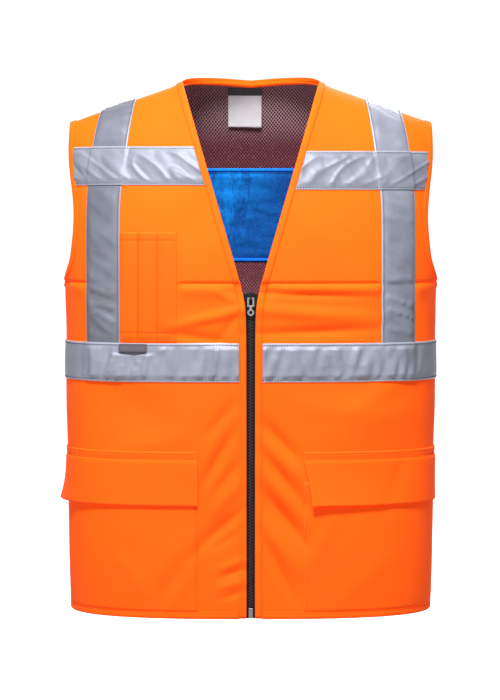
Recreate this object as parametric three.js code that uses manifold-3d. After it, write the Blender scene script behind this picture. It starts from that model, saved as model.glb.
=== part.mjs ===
// A sleeveless high-visibility work vest with an evaporative cooling panel, worn and zipped up.
// Millimetres, +Z up, the front faces -Y, and +X is the wearer's left. The origin is midway between
// the shoulders, at the height where the middle of each shoulder seam rests on the wearer.
//
// All cloth lies on one form, the worn shape of the body of the vest. A place on it has a `w` across,
// 0 at the middle and 1 or -1 at the side seams, a level `c` up, and a face, 1 in front and -1 behind.
// Up to the top of the chest tapes a level is a plain height. Above them the levels close over the
// shoulders, and at RIDGE they all lie on the shoulder seam. Each piece is a wall between two
// distances from that form, so neighbouring pieces keep their gaps wherever the form bends.
import * as THREE from "three";
import { mergeVertices } from "three/addons/utils/BufferGeometryUtils.js";
import Module from "manifold-3d";

// Body of the vest
const BODY_LENGTH = 674; // middle of the shoulder seam down to the hem
const HALF_WIDTH = 250;
const FRONT_DEPTH = 115;
const BACK_DEPTH = 112;
const SHOULDER_SLOPE = 0.353; // fall of the shoulder seam for each millimetre outwards
const SHOULDER_MIDDLE = 168; // centre to where the shoulder seam is level with the origin
const SHOULDER_INSET = 9; // the shoulder tips stand inside HALF_WIDTH by this much
const SHOULDER_TIP = HALF_WIDTH - SHOULDER_INSET; // half the width across the shoulder tips
const NECK_HALF_WIDTH = 92;
const NECK_RISE = 3.5; // the seam turns up by this much where it meets the neck
const NECK_RISE_WIDTH = 34;
const BACK_NECK_HEIGHT = 27; // back neck edge above the origin
const ZIP_TOP_DROP = 262; // bottom of the V neck below the origin
const ARMHOLE_DROP = 238; // foot of the armholes, and the crease across the chest, below the origin
const ARMHOLE_WAIST = 7.5; // how far the armhole edge draws in below the shoulder tip
const ARMHOLE_INSET = 2; // how far its foot stands inside the shoulder tip
const ARMHOLE_FOOT = 40; // height of its rounded foot
const CREASE_PUFF = 2.4; // the fronts swell under the crease
const CREASE_PUFF_DROP = 14;
const CREASE_START = 24; // centre to where the swelling begins

// Cloth and clearances
const CLOTH = 1.2;
const TRIM = 1.0; // reflective tape, binding, lining, pocket cloth
const GAP = 0.35; // between layers
const SEAM = 0.5; // between edges that meet
const BINDING_WIDTH = 8;
const BINDING_GAP = 0.6; // bindings are folded loosely over their edges
const LOOSE_GAP = 1.5; // round the armholes and the back neck
const LINING_GAP = 0.6;
const LINING_INSET = 2; // the lining stops short of the hem and the neck
const LINING_EASE = 5; // the lining hangs clear of the back below the armholes
const BINDING_TURN = 3; // the part of the armhole bindings that is turned inside
const ZIP_OPENING = 6.8; // from the centre to the cloth edge of each front

// Reflective tape
const TAPE_WIDTH = 50;
const WAIST_TAPE_DROP = 315; // top edge below the origin
const CHEST_TAPE_DROP = { right: 59, left: 65 };
const BRACE_INSET = 70; // shoulder tip to the inner edge of each brace on the chest
const BRACE_SPREAD = SHOULDER_TIP - BRACE_INSET;
const BRACE_LEAN = 18; // the braces stand closer by this much at the shoulder seam
const BRACE_BEND = 150; // the braces hang straight below this depth
const BRACE_UNDERLAP = 25; // hidden end of each brace behind the waist tape

// Pockets
const POCKET_SPREAD = 70; // centre to the inner edge of each lower pocket
const POCKET_HEIGHT = 217; // hem to the top of the flap
const FLAP_HEIGHT = 70;
const FLAP_STITCHING = 9; // depth of the sewn strip at the top of a flap
const FLAP_LIFT = { right: 2, left: 1 }; // how far the free edge stands off
const OUTER_FLARE = { right: 8, left: 0 }; // the outer corner stands off by this much more
const INNER_FLARE = { right: 0, left: 7 };
const POCKET_PUFF = 3; // how far the middle of a bag stands off
const PEN_SLOT_WIDTH = 25;
const PEN_SLOTS = 3;
const PEN_POCKET_HEIGHT = 144;
const PEN_SLOT_PUFF = 1.4;
const TAB_LENGTH = 36;
const TAB_HEIGHT = 10.5;
const TAB_DROP = 1;

// Inside the back
const COOLING_PANEL_TOP = 84; // below the origin
const COOLING_PANEL_HEIGHT = 130;
const COOLING_PANEL_THICKNESS = 3;
const PIPING_WIDTH = 5;
const PIPING_THICKNESS = 2.4;
const LABEL_WIDTH = 48;
const LABEL_HEIGHT = 52;
const LABEL_DROP = 7; // back neck edge down to the label, which hangs from under the binding
const LABEL_OFFSET = -8; // the label is sewn in a little to the wearer's right

// Zip
const ZIP_TOP = -250;
const ZIP_TAPE_WIDTH = 11;
const CHAIN_WIDTH = 5.8;
const CHAIN_THICKNESS = 2.6;
const CHAIN_TOP = -252;
const SLIDER_TOP = -248;
const SLIDER_WIDTH = 9.6;
const SLIDER_FOOT_WIDTH = 7.8;
const SLIDER_LENGTH = 11;
const SLIDER_PLATE = 1.4;
const SLIDER_THROAT = CHAIN_THICKNESS + 2 * GAP; // the chain runs between the two plates
const SLIDER_POST_WIDTH = 4;
const BRIDGE_WIDTH = 2.2;
const BRIDGE_LENGTH = 9;
const BRIDGE_BAR = 1.2;
const BRIDGE_CLEARANCE = 3.2; // from the plate to the bar of the bridge
const PULL_LENGTH = 24;
const PULL_WIDTH = 9.2;
const PULL_THICKNESS = 1.7;
const PULL_PLAY = 0.5; // from the bridge's lower leg to the pull's bar, which hangs in the bridge
const PULL_WINDOW_WIDTH = 4.4;
const PULL_WINDOW_LENGTH = 8.6;
const PULL_NECK_WIDTH = 3.6;
const PULL_RING_RADIUS = 4.4;
const PULL_HOLE_RADIUS = 2.2;
const BOX_WIDTH = 5.8;
const BOX_HEIGHT = 13;
const BOX_THICKNESS = 4.6;

// Cross sections from hem to shoulder: heights are shares of BODY_LENGTH, half widths of HALF_WIDTH,
// and depths of FRONT_DEPTH and BACK_DEPTH. A higher squareness gives flatter faces, rounder sides.
const SECTIONS = [
  { height: 0.0, halfWidth: 0.962, front: 1.06, back: 0.86, centre: 0.0, squareness: 2.75 },
  { height: 0.21, halfWidth: 0.971, front: 0.98, back: 0.88, centre: 0.0, squareness: 2.8 },
  { height: 0.41, halfWidth: 0.987, front: 0.98, back: 0.9, centre: 0.01, squareness: 2.8 },
  { height: 0.54, halfWidth: 0.987, front: 0.99, back: 0.93, centre: 0.02, squareness: 2.8 },
  { height: 0.645, halfWidth: 0.993, front: 1.0, back: 0.98, centre: 0.03, squareness: 2.75 },
  { height: 0.8, halfWidth: 1.0, front: 1.0, back: 1.02, centre: 0.05, squareness: 2.7 },
  { height: 1.0, halfWidth: 1.03, front: 1.0, back: 1.0, centre: 0.08, squareness: 2.6 },
];

// Soft folds. x and z place the middle, as shares of HALF_WIDTH and BODY_LENGTH from the origin; the
// length and the width are shares of HALF_WIDTH, the turn is in degrees from level, the rise in
// millimetres, and a negative rise is a dent.
const FOLDS = [
  { face: 1, x: 0.14, z: -0.66, turn: -48, length: 0.26, width: 0.07, rise: -2.2 },
  { face: 1, x: 0.15, z: -0.73, turn: -50, length: 0.28, width: 0.075, rise: 2.4 },
  { face: 1, x: 0.17, z: -0.8, turn: -52, length: 0.28, width: 0.07, rise: -2.2 },
  { face: 1, x: 0.17, z: -0.88, turn: -58, length: 0.28, width: 0.075, rise: 2.0 },
  { face: 1, x: -0.16, z: -0.67, turn: 58, length: 0.3, width: 0.08, rise: 2.2 },
  { face: 1, x: -0.15, z: -0.78, turn: 50, length: 0.26, width: 0.075, rise: -2.2 },
  { face: 1, x: -0.36, z: -0.88, turn: 55, length: 0.28, width: 0.08, rise: 2.0 },
  { face: 1, x: 0.42, z: -0.39, turn: 0, length: 0.4, width: 0.07, rise: -1.8 },
  { face: 1, x: 0.42, z: -0.43, turn: 2, length: 0.42, width: 0.07, rise: 2.0 },
  { face: 1, x: -0.22, z: -0.43, turn: 8, length: 0.3, width: 0.07, rise: 1.8 },
  { face: 1, x: -0.6, z: -0.6, turn: -20, length: 0.3, width: 0.12, rise: -3.0 },
  { face: 1, x: 0.62, z: -0.62, turn: 24, length: 0.34, width: 0.12, rise: 2.4 },
  { face: 1, x: -0.27, z: -0.22, turn: 58, length: 0.24, width: 0.1, rise: -2.0 },
  { face: 1, x: 0.3, z: -0.24, turn: -52, length: 0.28, width: 0.1, rise: 2.0 },
  { face: -1, x: 0.0, z: -0.42, turn: 0, length: 0.6, width: 0.1, rise: -3.0 },
  { face: -1, x: 0.35, z: -0.62, turn: 70, length: 0.5, width: 0.12, rise: 3.0 },
  { face: -1, x: -0.38, z: -0.66, turn: -72, length: 0.5, width: 0.12, rise: 3.0 },
  { face: -1, x: 0.02, z: -0.8, turn: 88, length: 0.45, width: 0.1, rise: -2.6 },
];

// Levels that the pieces share
const HEM = -BODY_LENGTH;
const CREASE = -ARMHOLE_DROP;
const WAIST_TAPE_TOP = -WAIST_TAPE_DROP;
const PEN_POCKET_TOP = WAIST_TAPE_TOP + PEN_POCKET_HEIGHT;
const ARCH_FOOT = -Math.min(CHEST_TAPE_DROP.right, CHEST_TAPE_DROP.left);
const ARCH_LENGTH = 100;
const RIDGE = ARCH_FOOT + ARCH_LENGTH;
const WAIST_TAPE_BOTTOM = WAIST_TAPE_TOP - TAPE_WIDTH;
const BRACE_END = WAIST_TAPE_TOP - BRACE_UNDERLAP;
const HEM_TRIM = HEM + BINDING_WIDTH + SEAM;
const PANEL_TOP = -COOLING_PANEL_TOP;
const PANEL_BOTTOM = PANEL_TOP - COOLING_PANEL_HEIGHT;
const POCKET_TOP = HEM + POCKET_HEIGHT;
const FLAP_STITCH_LINE = POCKET_TOP - FLAP_STITCHING;
const FLAP_BOTTOM = POCKET_TOP - FLAP_HEIGHT;

// Distances from the form, outwards
const ON_CLOTH = CLOTH + GAP;
const LAYER = TRIM + GAP;
const LINED = LINING_GAP + TRIM; // inner face of the lining
const ZIP_TAPE_DEPTH = -(BINDING_GAP + GAP + 2 * TRIM);
const CHAIN_DEPTH = ZIP_TAPE_DEPTH + TRIM / 2; // middle of the chain

const clamp01 = (t) => Math.min(1, Math.max(0, t));
const ease = (t) => clamp01(t) ** 2 * (3 - 2 * clamp01(t));
const mix = (a, b, t) => a + (b - a) * t;
const range = (n) => Array.from({ length: n }, (_, i) => i);
const steps = (a, b, n) => range(n + 1).map((i) => mix(a, b, i / n));

// A column of SECTIONS at a share of the height, on a smooth curve through its rows.
function section(column, share) {
  const last = SECTIONS.length - 2;
  const found = SECTIONS.findLastIndex((row) => row.height <= share);
  const k = Math.min(last, Math.max(0, found));
  const [before, from, to, after] = [k - 1, k, k + 1, k + 2].map(
    (i) => SECTIONS[Math.min(last + 1, Math.max(0, i))],
  );
  const t = clamp01((share - from.height) / (to.height - from.height));
  const slope = (a, b) => ((b[column] - a[column]) / (b.height - a.height)) * (to.height - from.height);
  const [m0, m1] = [slope(before, to), slope(from, after)];
  const rise = to[column] - from[column];
  return from[column] + t * (m0 + t * (3 * rise - 2 * m0 - m1 + t * (m0 + m1 - 2 * rise)));
}

// Height of the shoulder seam at x; inside the neck it is only the line that the neck is cut from.
function ridgeHeight(x) {
  const inside = (x * x + NECK_HALF_WIDTH ** 2) / (2 * NECK_HALF_WIDTH);
  const out = Math.abs(x) < NECK_HALF_WIDTH ? inside : Math.abs(x);
  const rise = NECK_RISE * ease((NECK_HALF_WIDTH + NECK_RISE_WIDTH / 2 - out) / NECK_RISE_WIDTH);
  return SHOULDER_SLOPE * (SHOULDER_MIDDLE - out) + rise;
}

// The arch from the crease to the shoulder seam is a quarter ellipse, and `turn` is its angle.
const archTurn = (height, x) =>
  Math.asin(clamp01((height - CREASE) / (ridgeHeight(x) - CREASE)));

function heightAt(c, x) {
  if (c <= ARCH_FOOT) return c;
  const turn = mix(archTurn(ARCH_FOOT, x), Math.PI / 2, (c - ARCH_FOOT) / ARCH_LENGTH);
  return CREASE + (ridgeHeight(x) - CREASE) * Math.sin(turn);
}

function levelAt(height, x) {
  if (height <= ARCH_FOOT) return height;
  const foot = archTurn(ARCH_FOOT, x);
  return ARCH_FOOT + (ARCH_LENGTH * (archTurn(height, x) - foot)) / (Math.PI / 2 - foot);
}

// Share of the height at which SECTIONS is read for a level.
const shareAt = (c) =>
  1 + (c <= ARCH_FOOT ? c : ARCH_FOOT * (1 - (c - ARCH_FOOT) / ARCH_LENGTH)) / BODY_LENGTH;

// The w at x: the direction, seen from above, in which a superellipse passes through it.
const acrossAt = (x, c) => {
  const share = shareAt(c);
  const power = section("squareness", share);
  const part = Math.min(1, Math.abs(x) / (HALF_WIDTH * section("halfWidth", share)));
  return (Math.sign(x) * Math.atan2(part, (1 - part ** power) ** (1 / power))) / (Math.PI / 2);
};

function foldRise(x, z, face) {
  let rise = 0;
  for (const fold of FOLDS) {
    if (fold.face !== face) continue;
    const turn = THREE.MathUtils.degToRad(fold.turn);
    const [dx, dz] = [x - fold.x * HALF_WIDTH, z - fold.z * BODY_LENGTH];
    const along = (dx * Math.cos(turn) + dz * Math.sin(turn)) / (fold.length * HALF_WIDTH);
    const across = (dz * Math.cos(turn) - dx * Math.sin(turn)) / (fold.width * HALF_WIDTH);
    if (Math.abs(along) < 1) rise += fold.rise * (1 - along * along) ** 2 * Math.exp(-across * across);
  }
  if (face > 0 && z < CREASE) {
    const below = (CREASE - z) / CREASE_PUFF_DROP;
    rise += CREASE_PUFF * below * Math.exp(1 - below) * ease((Math.abs(x) - CREASE_START) / CREASE_START);
  }
  return rise;
}

// The worn form without its folds: superellipses that close over the shoulders.
function plainForm(w, c, face) {
  if (c > RIDGE) [c, face] = [2 * RIDGE - c, -face];
  if (Math.abs(w) > 1) [w, face] = [Math.sign(w) * (2 - Math.abs(w)), -face];
  const share = shareAt(c);
  const power = section("squareness", share);
  const [sine, cosine] = [Math.sin((Math.abs(w) * Math.PI) / 2), Math.cos((Math.abs(w) * Math.PI) / 2)];
  const reach = (sine ** power + Math.max(0, cosine) ** power) ** (-1 / power);
  const x = Math.sign(w) * HALF_WIDTH * section("halfWidth", share) * sine * reach;
  const z = heightAt(c, x);
  const arch = Math.cos(archTurn(z, x));
  const [depth, column] = face > 0 ? [FRONT_DEPTH, "front"] : [BACK_DEPTH, "back"];
  const out = depth * section(column, share) * arch * cosine * reach;
  return { point: new THREE.Vector3(x, FRONT_DEPTH * section("centre", share) - face * out, z), face };
}

// Outward normal of a form at a place, from small steps across and up.
const STEP_ACROSS = 1e-3;
const STEP_UP = 0.3;
function normalOf(form, w, c, face) {
  const across = form(w + STEP_ACROSS, c, face).point.sub(form(w - STEP_ACROSS, c, face).point);
  const up = form(w, c + STEP_UP, face).point.sub(form(w, c - STEP_UP, face).point);
  return across.cross(up).multiplyScalar(face).normalize();
}

function foldedForm(w, c, face) {
  const plain = plainForm(w, c, face);
  const rise = foldRise(plain.point.x, plain.point.z, plain.face);
  if (rise) plain.point.addScaledVector(normalOf(plainForm, w, c, face), rise);
  return plain;
}

// A point at a distance out from the form.
function place({ w, c, face }, distance) {
  return foldedForm(w, c, face).point.addScaledVector(normalOf(foldedForm, w, c, face), distance);
}

// A place moved over the form by millimetres in a direction, in short steps.
const SHORT_STEP = 2;
function shifted({ w, c, face }, direction, distance) {
  const pieces = Math.max(1, Math.ceil(Math.abs(distance) / SHORT_STEP));
  for (let i = 0; i < pieces; i++) {
    const across = foldedForm(w + STEP_ACROSS, c, face).point;
    across.sub(foldedForm(w - STEP_ACROSS, c, face).point).divideScalar(2 * STEP_ACROSS);
    const up = foldedForm(w, c + STEP_UP, face).point;
    up.sub(foldedForm(w, c - STEP_UP, face).point).divideScalar(2 * STEP_UP);
    const [aa, au, uu] = [across.dot(across), across.dot(up), up.dot(up)];
    const [ad, ud] = [across.dot(direction), up.dot(direction)];
    const scale = distance / pieces / (aa * uu - au * au);
    w += (ad * uu - ud * au) * scale;
    c += (ud * aa - ad * au) * scale;
  }
  return { w, c, face };
}

// The w a given girth further out from the centre, at the same level.
function alongGirth(w, c, face, girth) {
  const pieces = Math.max(2, Math.ceil(Math.abs(girth) / 8));
  const side = Math.sign(w) || 1;
  for (let i = 0; i < pieces; i++) {
    const rate = plainForm(w + STEP_ACROSS, c, face).point;
    rate.sub(plainForm(w - STEP_ACROSS, c, face).point).divideScalar(2 * STEP_ACROSS);
    w += (side * girth) / pieces / rate.length();
  }
  return w;
}

// Edges, as a w of the given side at a level

const SIDES = { right: -1, left: 1 };
const SEAM_EDGE = 1 - Math.asin(SEAM / 2 / FRONT_DEPTH) / (Math.PI / 2); // beside the side seams

const NECK_BEND = 0.06; // roundness of the foot of the V, as a share of its height
function neckEdge(c) {
  let x = NECK_HALF_WIDTH / 2;
  range(12).forEach(() => {
    const share = (heightAt(c, x) + ZIP_TOP_DROP) / (ridgeHeight(NECK_HALF_WIDTH) + ZIP_TOP_DROP);
    x = ZIP_OPENING + ((NECK_HALF_WIDTH - ZIP_OPENING) * (share + Math.hypot(share, NECK_BEND))) / 2;
  });
  return acrossAt(x, c);
}

function sideEdge(c) {
  if (c <= CREASE) return 1;
  const share = clamp01((c - CREASE) / (ARCH_FOOT - CREASE));
  const x = SHOULDER_TIP - ARMHOLE_WAIST * Math.sin(Math.PI * share) ** 2 - (1 - share) * ARMHOLE_INSET;
  const foot = clamp01((c - CREASE) / ARMHOLE_FOOT);
  return 1 - (1 - acrossAt(x, c)) * Math.sqrt(1 - (1 - foot) ** 2);
}

// Inner edge of the brace, the same in front and behind so that it meets itself on the shoulder.
const braceEdge = (c) => acrossAt(BRACE_SPREAD - BRACE_LEAN * ease((c + BRACE_BEND) / (RIDGE + BRACE_BEND)), c);

// Top of the back: the shoulder seam, and between the shoulders the back neck edge.
const NECK_HOLLOW = 1.4; // how flat the neck edge runs behind the middle of the neck, as a power
function backTop(w) {
  const x = Math.abs(plainForm(w, RIDGE, -1).point.x);
  if (x >= NECK_HALF_WIDTH) return RIDGE;
  const fall = (ridgeHeight(0) - BACK_NECK_HEIGHT) * (1 - (x / NECK_HALF_WIDTH) ** NECK_HOLLOW);
  return levelAt(ridgeHeight(x) - fall, x);
}

// Columns of the fronts. Pockets, braces and tapes end on them, so their facets lie flat on the cloth.
const TRIM_IN = 1;
const POCKET_EDGE = 3;
const BRACE_IN = 6;
const BRACE_OUT = 8;
const TRIM_OUT = 10;
const SIDE = 11;
const PEN_WIDTH = PEN_SLOT_WIDTH * PEN_SLOTS;
function frontColumns(c, side) {
  const sign = SIDES[side];
  const [edge, outer, brace] = [neckEdge(c), sideEdge(c), braceEdge(c)].map((w) => w * sign);
  const trimIn = alongGirth(edge, c, 1, BINDING_WIDTH + SEAM);
  const trimOut = alongGirth(outer, c, 1, -BINDING_WIDTH - SEAM);
  const low = clamp01((WAIST_TAPE_BOTTOM - c) / (WAIST_TAPE_BOTTOM - POCKET_TOP));
  const pocketEdge = mix(alongGirth(brace, c, 1, -PEN_WIDTH), acrossAt(sign * POCKET_SPREAD, c), low);
  const pocket = sign * Math.max(sign * pocketEdge, sign * mix(trimIn, brace, 0.35));
  return [
    edge,
    ...steps(trimIn, pocket, POCKET_EDGE - TRIM_IN),
    ...steps(pocket, brace, BRACE_IN - POCKET_EDGE).slice(1),
    ...steps(brace, alongGirth(brace, c, 1, TAPE_WIDTH), BRACE_OUT - BRACE_IN).slice(1),
    ...steps(alongGirth(brace, c, 1, TAPE_WIDTH), trimOut, TRIM_OUT - BRACE_OUT).slice(1),
    c > CREASE ? outer : sign * SEAM_EDGE,
  ];
}

// Columns of the back, from the wearer's right side seam to the left one.
const NECK_COLUMNS = [0, 0.5, 0.82, 1]; // shares of the width of the back neck
const BACK_BRACE_IN = 4; // counted from the middle
const BACK_BRACE_OUT = 6;
const BACK_MIDDLE = 9;
const BACK_SIDE = 2 * BACK_MIDDLE;
function backColumns(c) {
  const outer = sideEdge(c);
  const neck = acrossAt(NECK_HALF_WIDTH, c);
  const brace = braceEdge(c);
  const braceOut = alongGirth(brace, c, -1, TAPE_WIDTH);
  const trimOut = alongGirth(outer, c, -1, -BINDING_WIDTH - SEAM);
  const half = [
    ...NECK_COLUMNS.map((share) => share * neck),
    ...steps(neck, brace, BACK_BRACE_IN - NECK_COLUMNS.length + 1).slice(1),
    ...steps(brace, braceOut, BACK_BRACE_OUT - BACK_BRACE_IN).slice(1),
    ...steps(braceOut, trimOut, BACK_MIDDLE - 1 - BACK_BRACE_OUT).slice(1),
    c > CREASE ? outer : SEAM_EDGE,
  ];
  return [...half.slice(1).reverse().map((w) => -w), ...half];
}

// Levels of the rows, which hold every level where something on the cloth ends.
const FLAP_LEVELS = steps(FLAP_BOTTOM, FLAP_STITCH_LINE, 2);
const FOOT_LEVELS = [
  CREASE + 0.02 * ARMHOLE_FOOT,
  CREASE + 0.1 * ARMHOLE_FOOT,
  PANEL_BOTTOM,
  CREASE + ARMHOLE_FOOT,
  PEN_POCKET_TOP,
];
const ARCH_LEVELS = [0.25, 0.5, 0.73, 0.9].map((share) => ARCH_FOOT + share * ARCH_LENGTH);
const TOP_LEVEL = RIDGE - SEAM / 2;
const LOW_LEVELS = [
  HEM,
  HEM_TRIM,
  ...steps(HEM_TRIM, FLAP_BOTTOM, 3).slice(1, -1),
  ...FLAP_LEVELS,
  POCKET_TOP,
  ...steps(POCKET_TOP, WAIST_TAPE_BOTTOM, 2).slice(1),
  BRACE_END,
  WAIST_TAPE_TOP,
  ...steps(WAIST_TAPE_TOP, CREASE, 3).slice(1),
];
const BACK_LOW_LEVELS = [
  HEM,
  HEM_TRIM,
  ...steps(HEM_TRIM, WAIST_TAPE_BOTTOM, 5).slice(1),
  BRACE_END,
  WAIST_TAPE_TOP,
  ...steps(WAIST_TAPE_TOP, CREASE, 3).slice(1),
];
const BACK_HIGH_LEVELS = [
  ...FOOT_LEVELS.slice(0, 3),
  PANEL_BOTTOM + PIPING_WIDTH,
  ...steps(PEN_POCKET_TOP, PANEL_TOP - PIPING_WIDTH, 2),
  PANEL_TOP,
  ARCH_FOOT,
  ...ARCH_LEVELS,
  TOP_LEVEL,
];
const BACK_LEVELS = [...BACK_LOW_LEVELS, ...BACK_HIGH_LEVELS];

function frontLevels(side) {
  const top = -CHEST_TAPE_DROP[side];
  const bottom = top - TAPE_WIDTH;
  const chest = [mix(PEN_POCKET_TOP, bottom, 0.5), bottom, mix(bottom, top, 0.5), top, ARCH_FOOT];
  return [...new Set([...LOW_LEVELS, ...FOOT_LEVELS, ...chest, ...ARCH_LEVELS, TOP_LEVEL])];
}
const levelsBetween = (side, low, high) => frontLevels(side).filter((c) => c >= low && c <= high);

// Grids of places, one row for each level

const frontGrid = (side, levels, from = 0, to = SIDE) =>
  levels.map((c) => frontColumns(c, side).slice(from, to + 1).map((w) => ({ w, c, face: 1 })));

// Above the arch's foot the rows of the back bend down to the neck edge.
function backPlace(column, c) {
  const w = backColumns(c)[column];
  if (c <= ARCH_FOOT) return { w, c, face: -1 };
  return { w, c: mix(ARCH_FOOT, backTop(w), (c - ARCH_FOOT) / ARCH_LENGTH), face: -1 };
}
const backGrid = (levels, reach = BACK_MIDDLE) =>
  levels.map((c) => range(2 * reach + 1).map((j) => backPlace(BACK_MIDDLE - reach + j, c)));

// Solids

// A mesh from corner points and triangles, turned so that its faces point out.
function closedMesh(name, material, points, triangles) {
  let volume = 0;
  for (const [a, b, c] of triangles) volume += points[a].dot(points[b].clone().cross(points[c]));
  const faces = volume > 0 ? triangles : triangles.map(([a, b, c]) => [a, c, b]);
  const geometry = new THREE.BufferGeometry();
  geometry.setAttribute("position", new THREE.Float32BufferAttribute(points.flatMap((p) => p.toArray()), 3));
  geometry.setIndex(faces.flat());
  geometry.computeVertexNormals();
  const mesh = new THREE.Mesh(geometry, material);
  mesh.name = name;
  return mesh;
}

// Two triangles for the corners a, b, c, d of a quad, cut along its shorter diagonal; `spots` are the
// points of the form under the corners, so that layers over one place are all cut the same way.
const quad = ([a, b, c, d], spots) =>
  spots[0].distanceTo(spots[2]) <= spots[1].distanceTo(spots[3])
    ? [[a, b, c], [a, c, d]]
    : [[a, b, d], [b, c, d]];

// A wall of cloth over a grid of places, from `inner` to `outer` millimetres off the form. Either may
// be a function of the row and the column.
function wall(name, material, grid, inner, outer) {
  const [rows, columns] = [grid.length, grid[0].length];
  const value = (distance, i, j) => (typeof distance === "function" ? distance(i, j) : distance);
  const layer = (distance) =>
    grid.flatMap((row, i) => row.map((spot, j) => place(spot, value(distance, i, j))));
  const under = layer(0);
  const points = [...layer(inner), ...layer(outer)];
  const triangles = [];
  for (let i = 0; i + 1 < rows; i++)
    for (let j = 0; j + 1 < columns; j++) {
      const at = i * columns + j;
      const corners = [at, at + 1, at + 1 + columns, at + columns];
      const faces = quad(corners, corners.map((k) => under[k]));
      triangles.push(...faces.map(([a, b, c]) => [a, c, b]));
      triangles.push(...faces.map((face) => face.map((k) => k + rows * columns)));
    }
  const rim = [
    ...range(columns).map((j) => j),
    ...range(rows - 1).map((i) => (i + 2) * columns - 1),
    ...range(columns - 1).map((j) => rows * columns - 2 - j),
    ...range(rows - 2).map((i) => (rows - 2 - i) * columns),
  ];
  rim.forEach((here, k) => {
    const next = rim[(k + 1) % rim.length];
    const over = rows * columns;
    triangles.push([here, next, next + over], [here, next + over, here + over]);
  });
  return closedMesh(name, material, points, triangles);
}

// A profile carried along a row of places. `profile` lists [into the cloth, out of the form], and
// `inward` gives the direction into the cloth at a place.
function carried(name, material, spots, profile, inward, closed = false) {
  const [count, corners] = [spots.length, profile.length];
  const moved = spots.map((spot, i) => profile.map(([into]) => shifted(spot, inward(i), into)));
  const points = moved.flatMap((row) => row.map((spot, k) => place(spot, profile[k][1])));
  const under = moved.flatMap((row) => row.map((spot) => place(spot, 0)));
  const triangles = [];
  for (let i = 0; i < (closed ? count : count - 1); i++)
    for (let k = 0; k < corners; k++) {
      const [here, next] = [i * corners, ((i + 1) % count) * corners];
      const beside = (k + 1) % corners;
      const around = [here + k, here + beside, next + beside, next + k];
      triangles.push(...quad(around, around.map((n) => under[n])));
    }
  if (!closed) {
    const outline = profile.map(([into, out]) => new THREE.Vector2(into, out));
    const end = (count - 1) * corners;
    for (const [a, b, c] of THREE.ShapeUtils.triangulateShape(outline, [])) {
      triangles.push([a, c, b], [end + a, end + b, end + c]);
    }
  }
  return closedMesh(name, material, points, triangles);
}

// Binding folded over an edge whose cloth and lining reach `lined` millimetres inside the form.
function bindingProfile(lined, turn = BINDING_WIDTH, gap = BINDING_GAP) {
  const [top, bottom] = [CLOTH + gap, -lined - gap];
  const lip = -GAP - TRIM;
  return [
    [BINDING_WIDTH, top + TRIM],
    [lip, top + TRIM],
    [lip, bottom - TRIM],
    [turn, bottom - TRIM],
    [turn, bottom],
    [-GAP, bottom],
    [-GAP, top],
    [BINDING_WIDTH, top],
  ];
}

// Direction into the cloth, square to a path of places, for cloth on the given hand of the path.
function squareTo(spots, hand, closed = false) {
  const spotPoints = spots.map((spot) => place(spot, 0));
  const count = spots.length;
  return (i) => {
    const before = closed ? (i + count - 1) % count : Math.max(0, i - 1);
    const after = closed ? (i + 1) % count : Math.min(count - 1, i + 1);
    const along = spotPoints[after].clone().sub(spotPoints[before]);
    const { w, c, face } = spots[i];
    return along.cross(normalOf(foldedForm, w, c, face)).multiplyScalar(hand).normalize();
  };
}

// Materials
const paint = (colour, roughness, metalness = 0) =>
  new THREE.MeshStandardMaterial({ color: colour, roughness, metalness });
const ORANGE = paint(0xff6a10, 0.75);
const ORANGE_BINDING = paint(0xff6414, 0.7);
const SILVER_TAPE = paint(0xa9acba, 0.45);
const MESH_LINING = paint(0x4a1522, 0.9);
const COOLING_BLUE = paint(0x1466c8, 0.85);
const LABEL_WHITE = paint(0xe6e6ea, 0.8);
const TAB_GREY = paint(0x6d6670, 0.8);
const ZIP_BLACK = paint(0x141416, 0.8);
const CHAIN_BLACK = paint(0x2c2c30, 0.5);
const METAL_BLACK = paint(0x222226, 0.4, 1);
const METAL = paint(0x9a9ba2, 0.3, 1);

const vest = new THREE.Group();

// Cloth of the body
for (const side of ["right", "left"])
  vest.add(wall("front_panel_" + side, ORANGE, frontGrid(side, frontLevels(side)), 0, CLOTH));
vest.add(wall("back_panel", ORANGE, backGrid(BACK_LEVELS), 0, CLOTH));

// Lining inside the back, which stops short of the hem and of the turned-in bindings
const liningLow = BACK_LOW_LEVELS.slice(1).filter((c, i) => i % 3 === 0 || c === CREASE);
const liningHigh = [...BACK_HIGH_LEVELS.slice(0, -1), TOP_LEVEL - LINING_INSET];
const liningLevels = [HEM + LINING_INSET, ...liningLow, ...liningHigh];
const liningGrid = backGrid(liningLevels);
const liningSides = liningGrid.flatMap((row) => [row[0], row[BACK_SIDE]]);
for (const spot of liningSides) spot.w = alongGirth(spot.w, spot.c, -1, -BINDING_TURN - LINING_INSET);
const liningOver = (i) => {
  const eased = liningLevels[i] > HEM_TRIM && liningLevels[i] < CREASE;
  return -LINING_GAP - (eased ? LINING_EASE : 0);
};
vest.add(wall("back_lining", MESH_LINING, liningGrid, (i) => liningOver(i) - TRIM, liningOver));

// Cooling panel on the lining, piped along its top and its bottom
const PANEL_DEPTH = -LINED - GAP;
const panelWall = (name, low, high, thickness) => {
  const levels = [low, ...BACK_LEVELS.filter((c) => c > low + SEAM && c < high - SEAM), high];
  const grid = backGrid(levels, BACK_BRACE_IN);
  vest.add(wall(name, COOLING_BLUE, grid, PANEL_DEPTH - thickness, PANEL_DEPTH));
};
const [pipedBottom, pipedTop] = [PANEL_BOTTOM + PIPING_WIDTH, PANEL_TOP - PIPING_WIDTH];
panelWall("cooling_panel", pipedBottom + SEAM, pipedTop - SEAM, COOLING_PANEL_THICKNESS);
panelWall("cooling_panel_top_piping", pipedTop, PANEL_TOP, PIPING_THICKNESS);
panelWall("cooling_panel_bottom_piping", PANEL_BOTTOM, pipedBottom, PIPING_THICKNESS);

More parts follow.
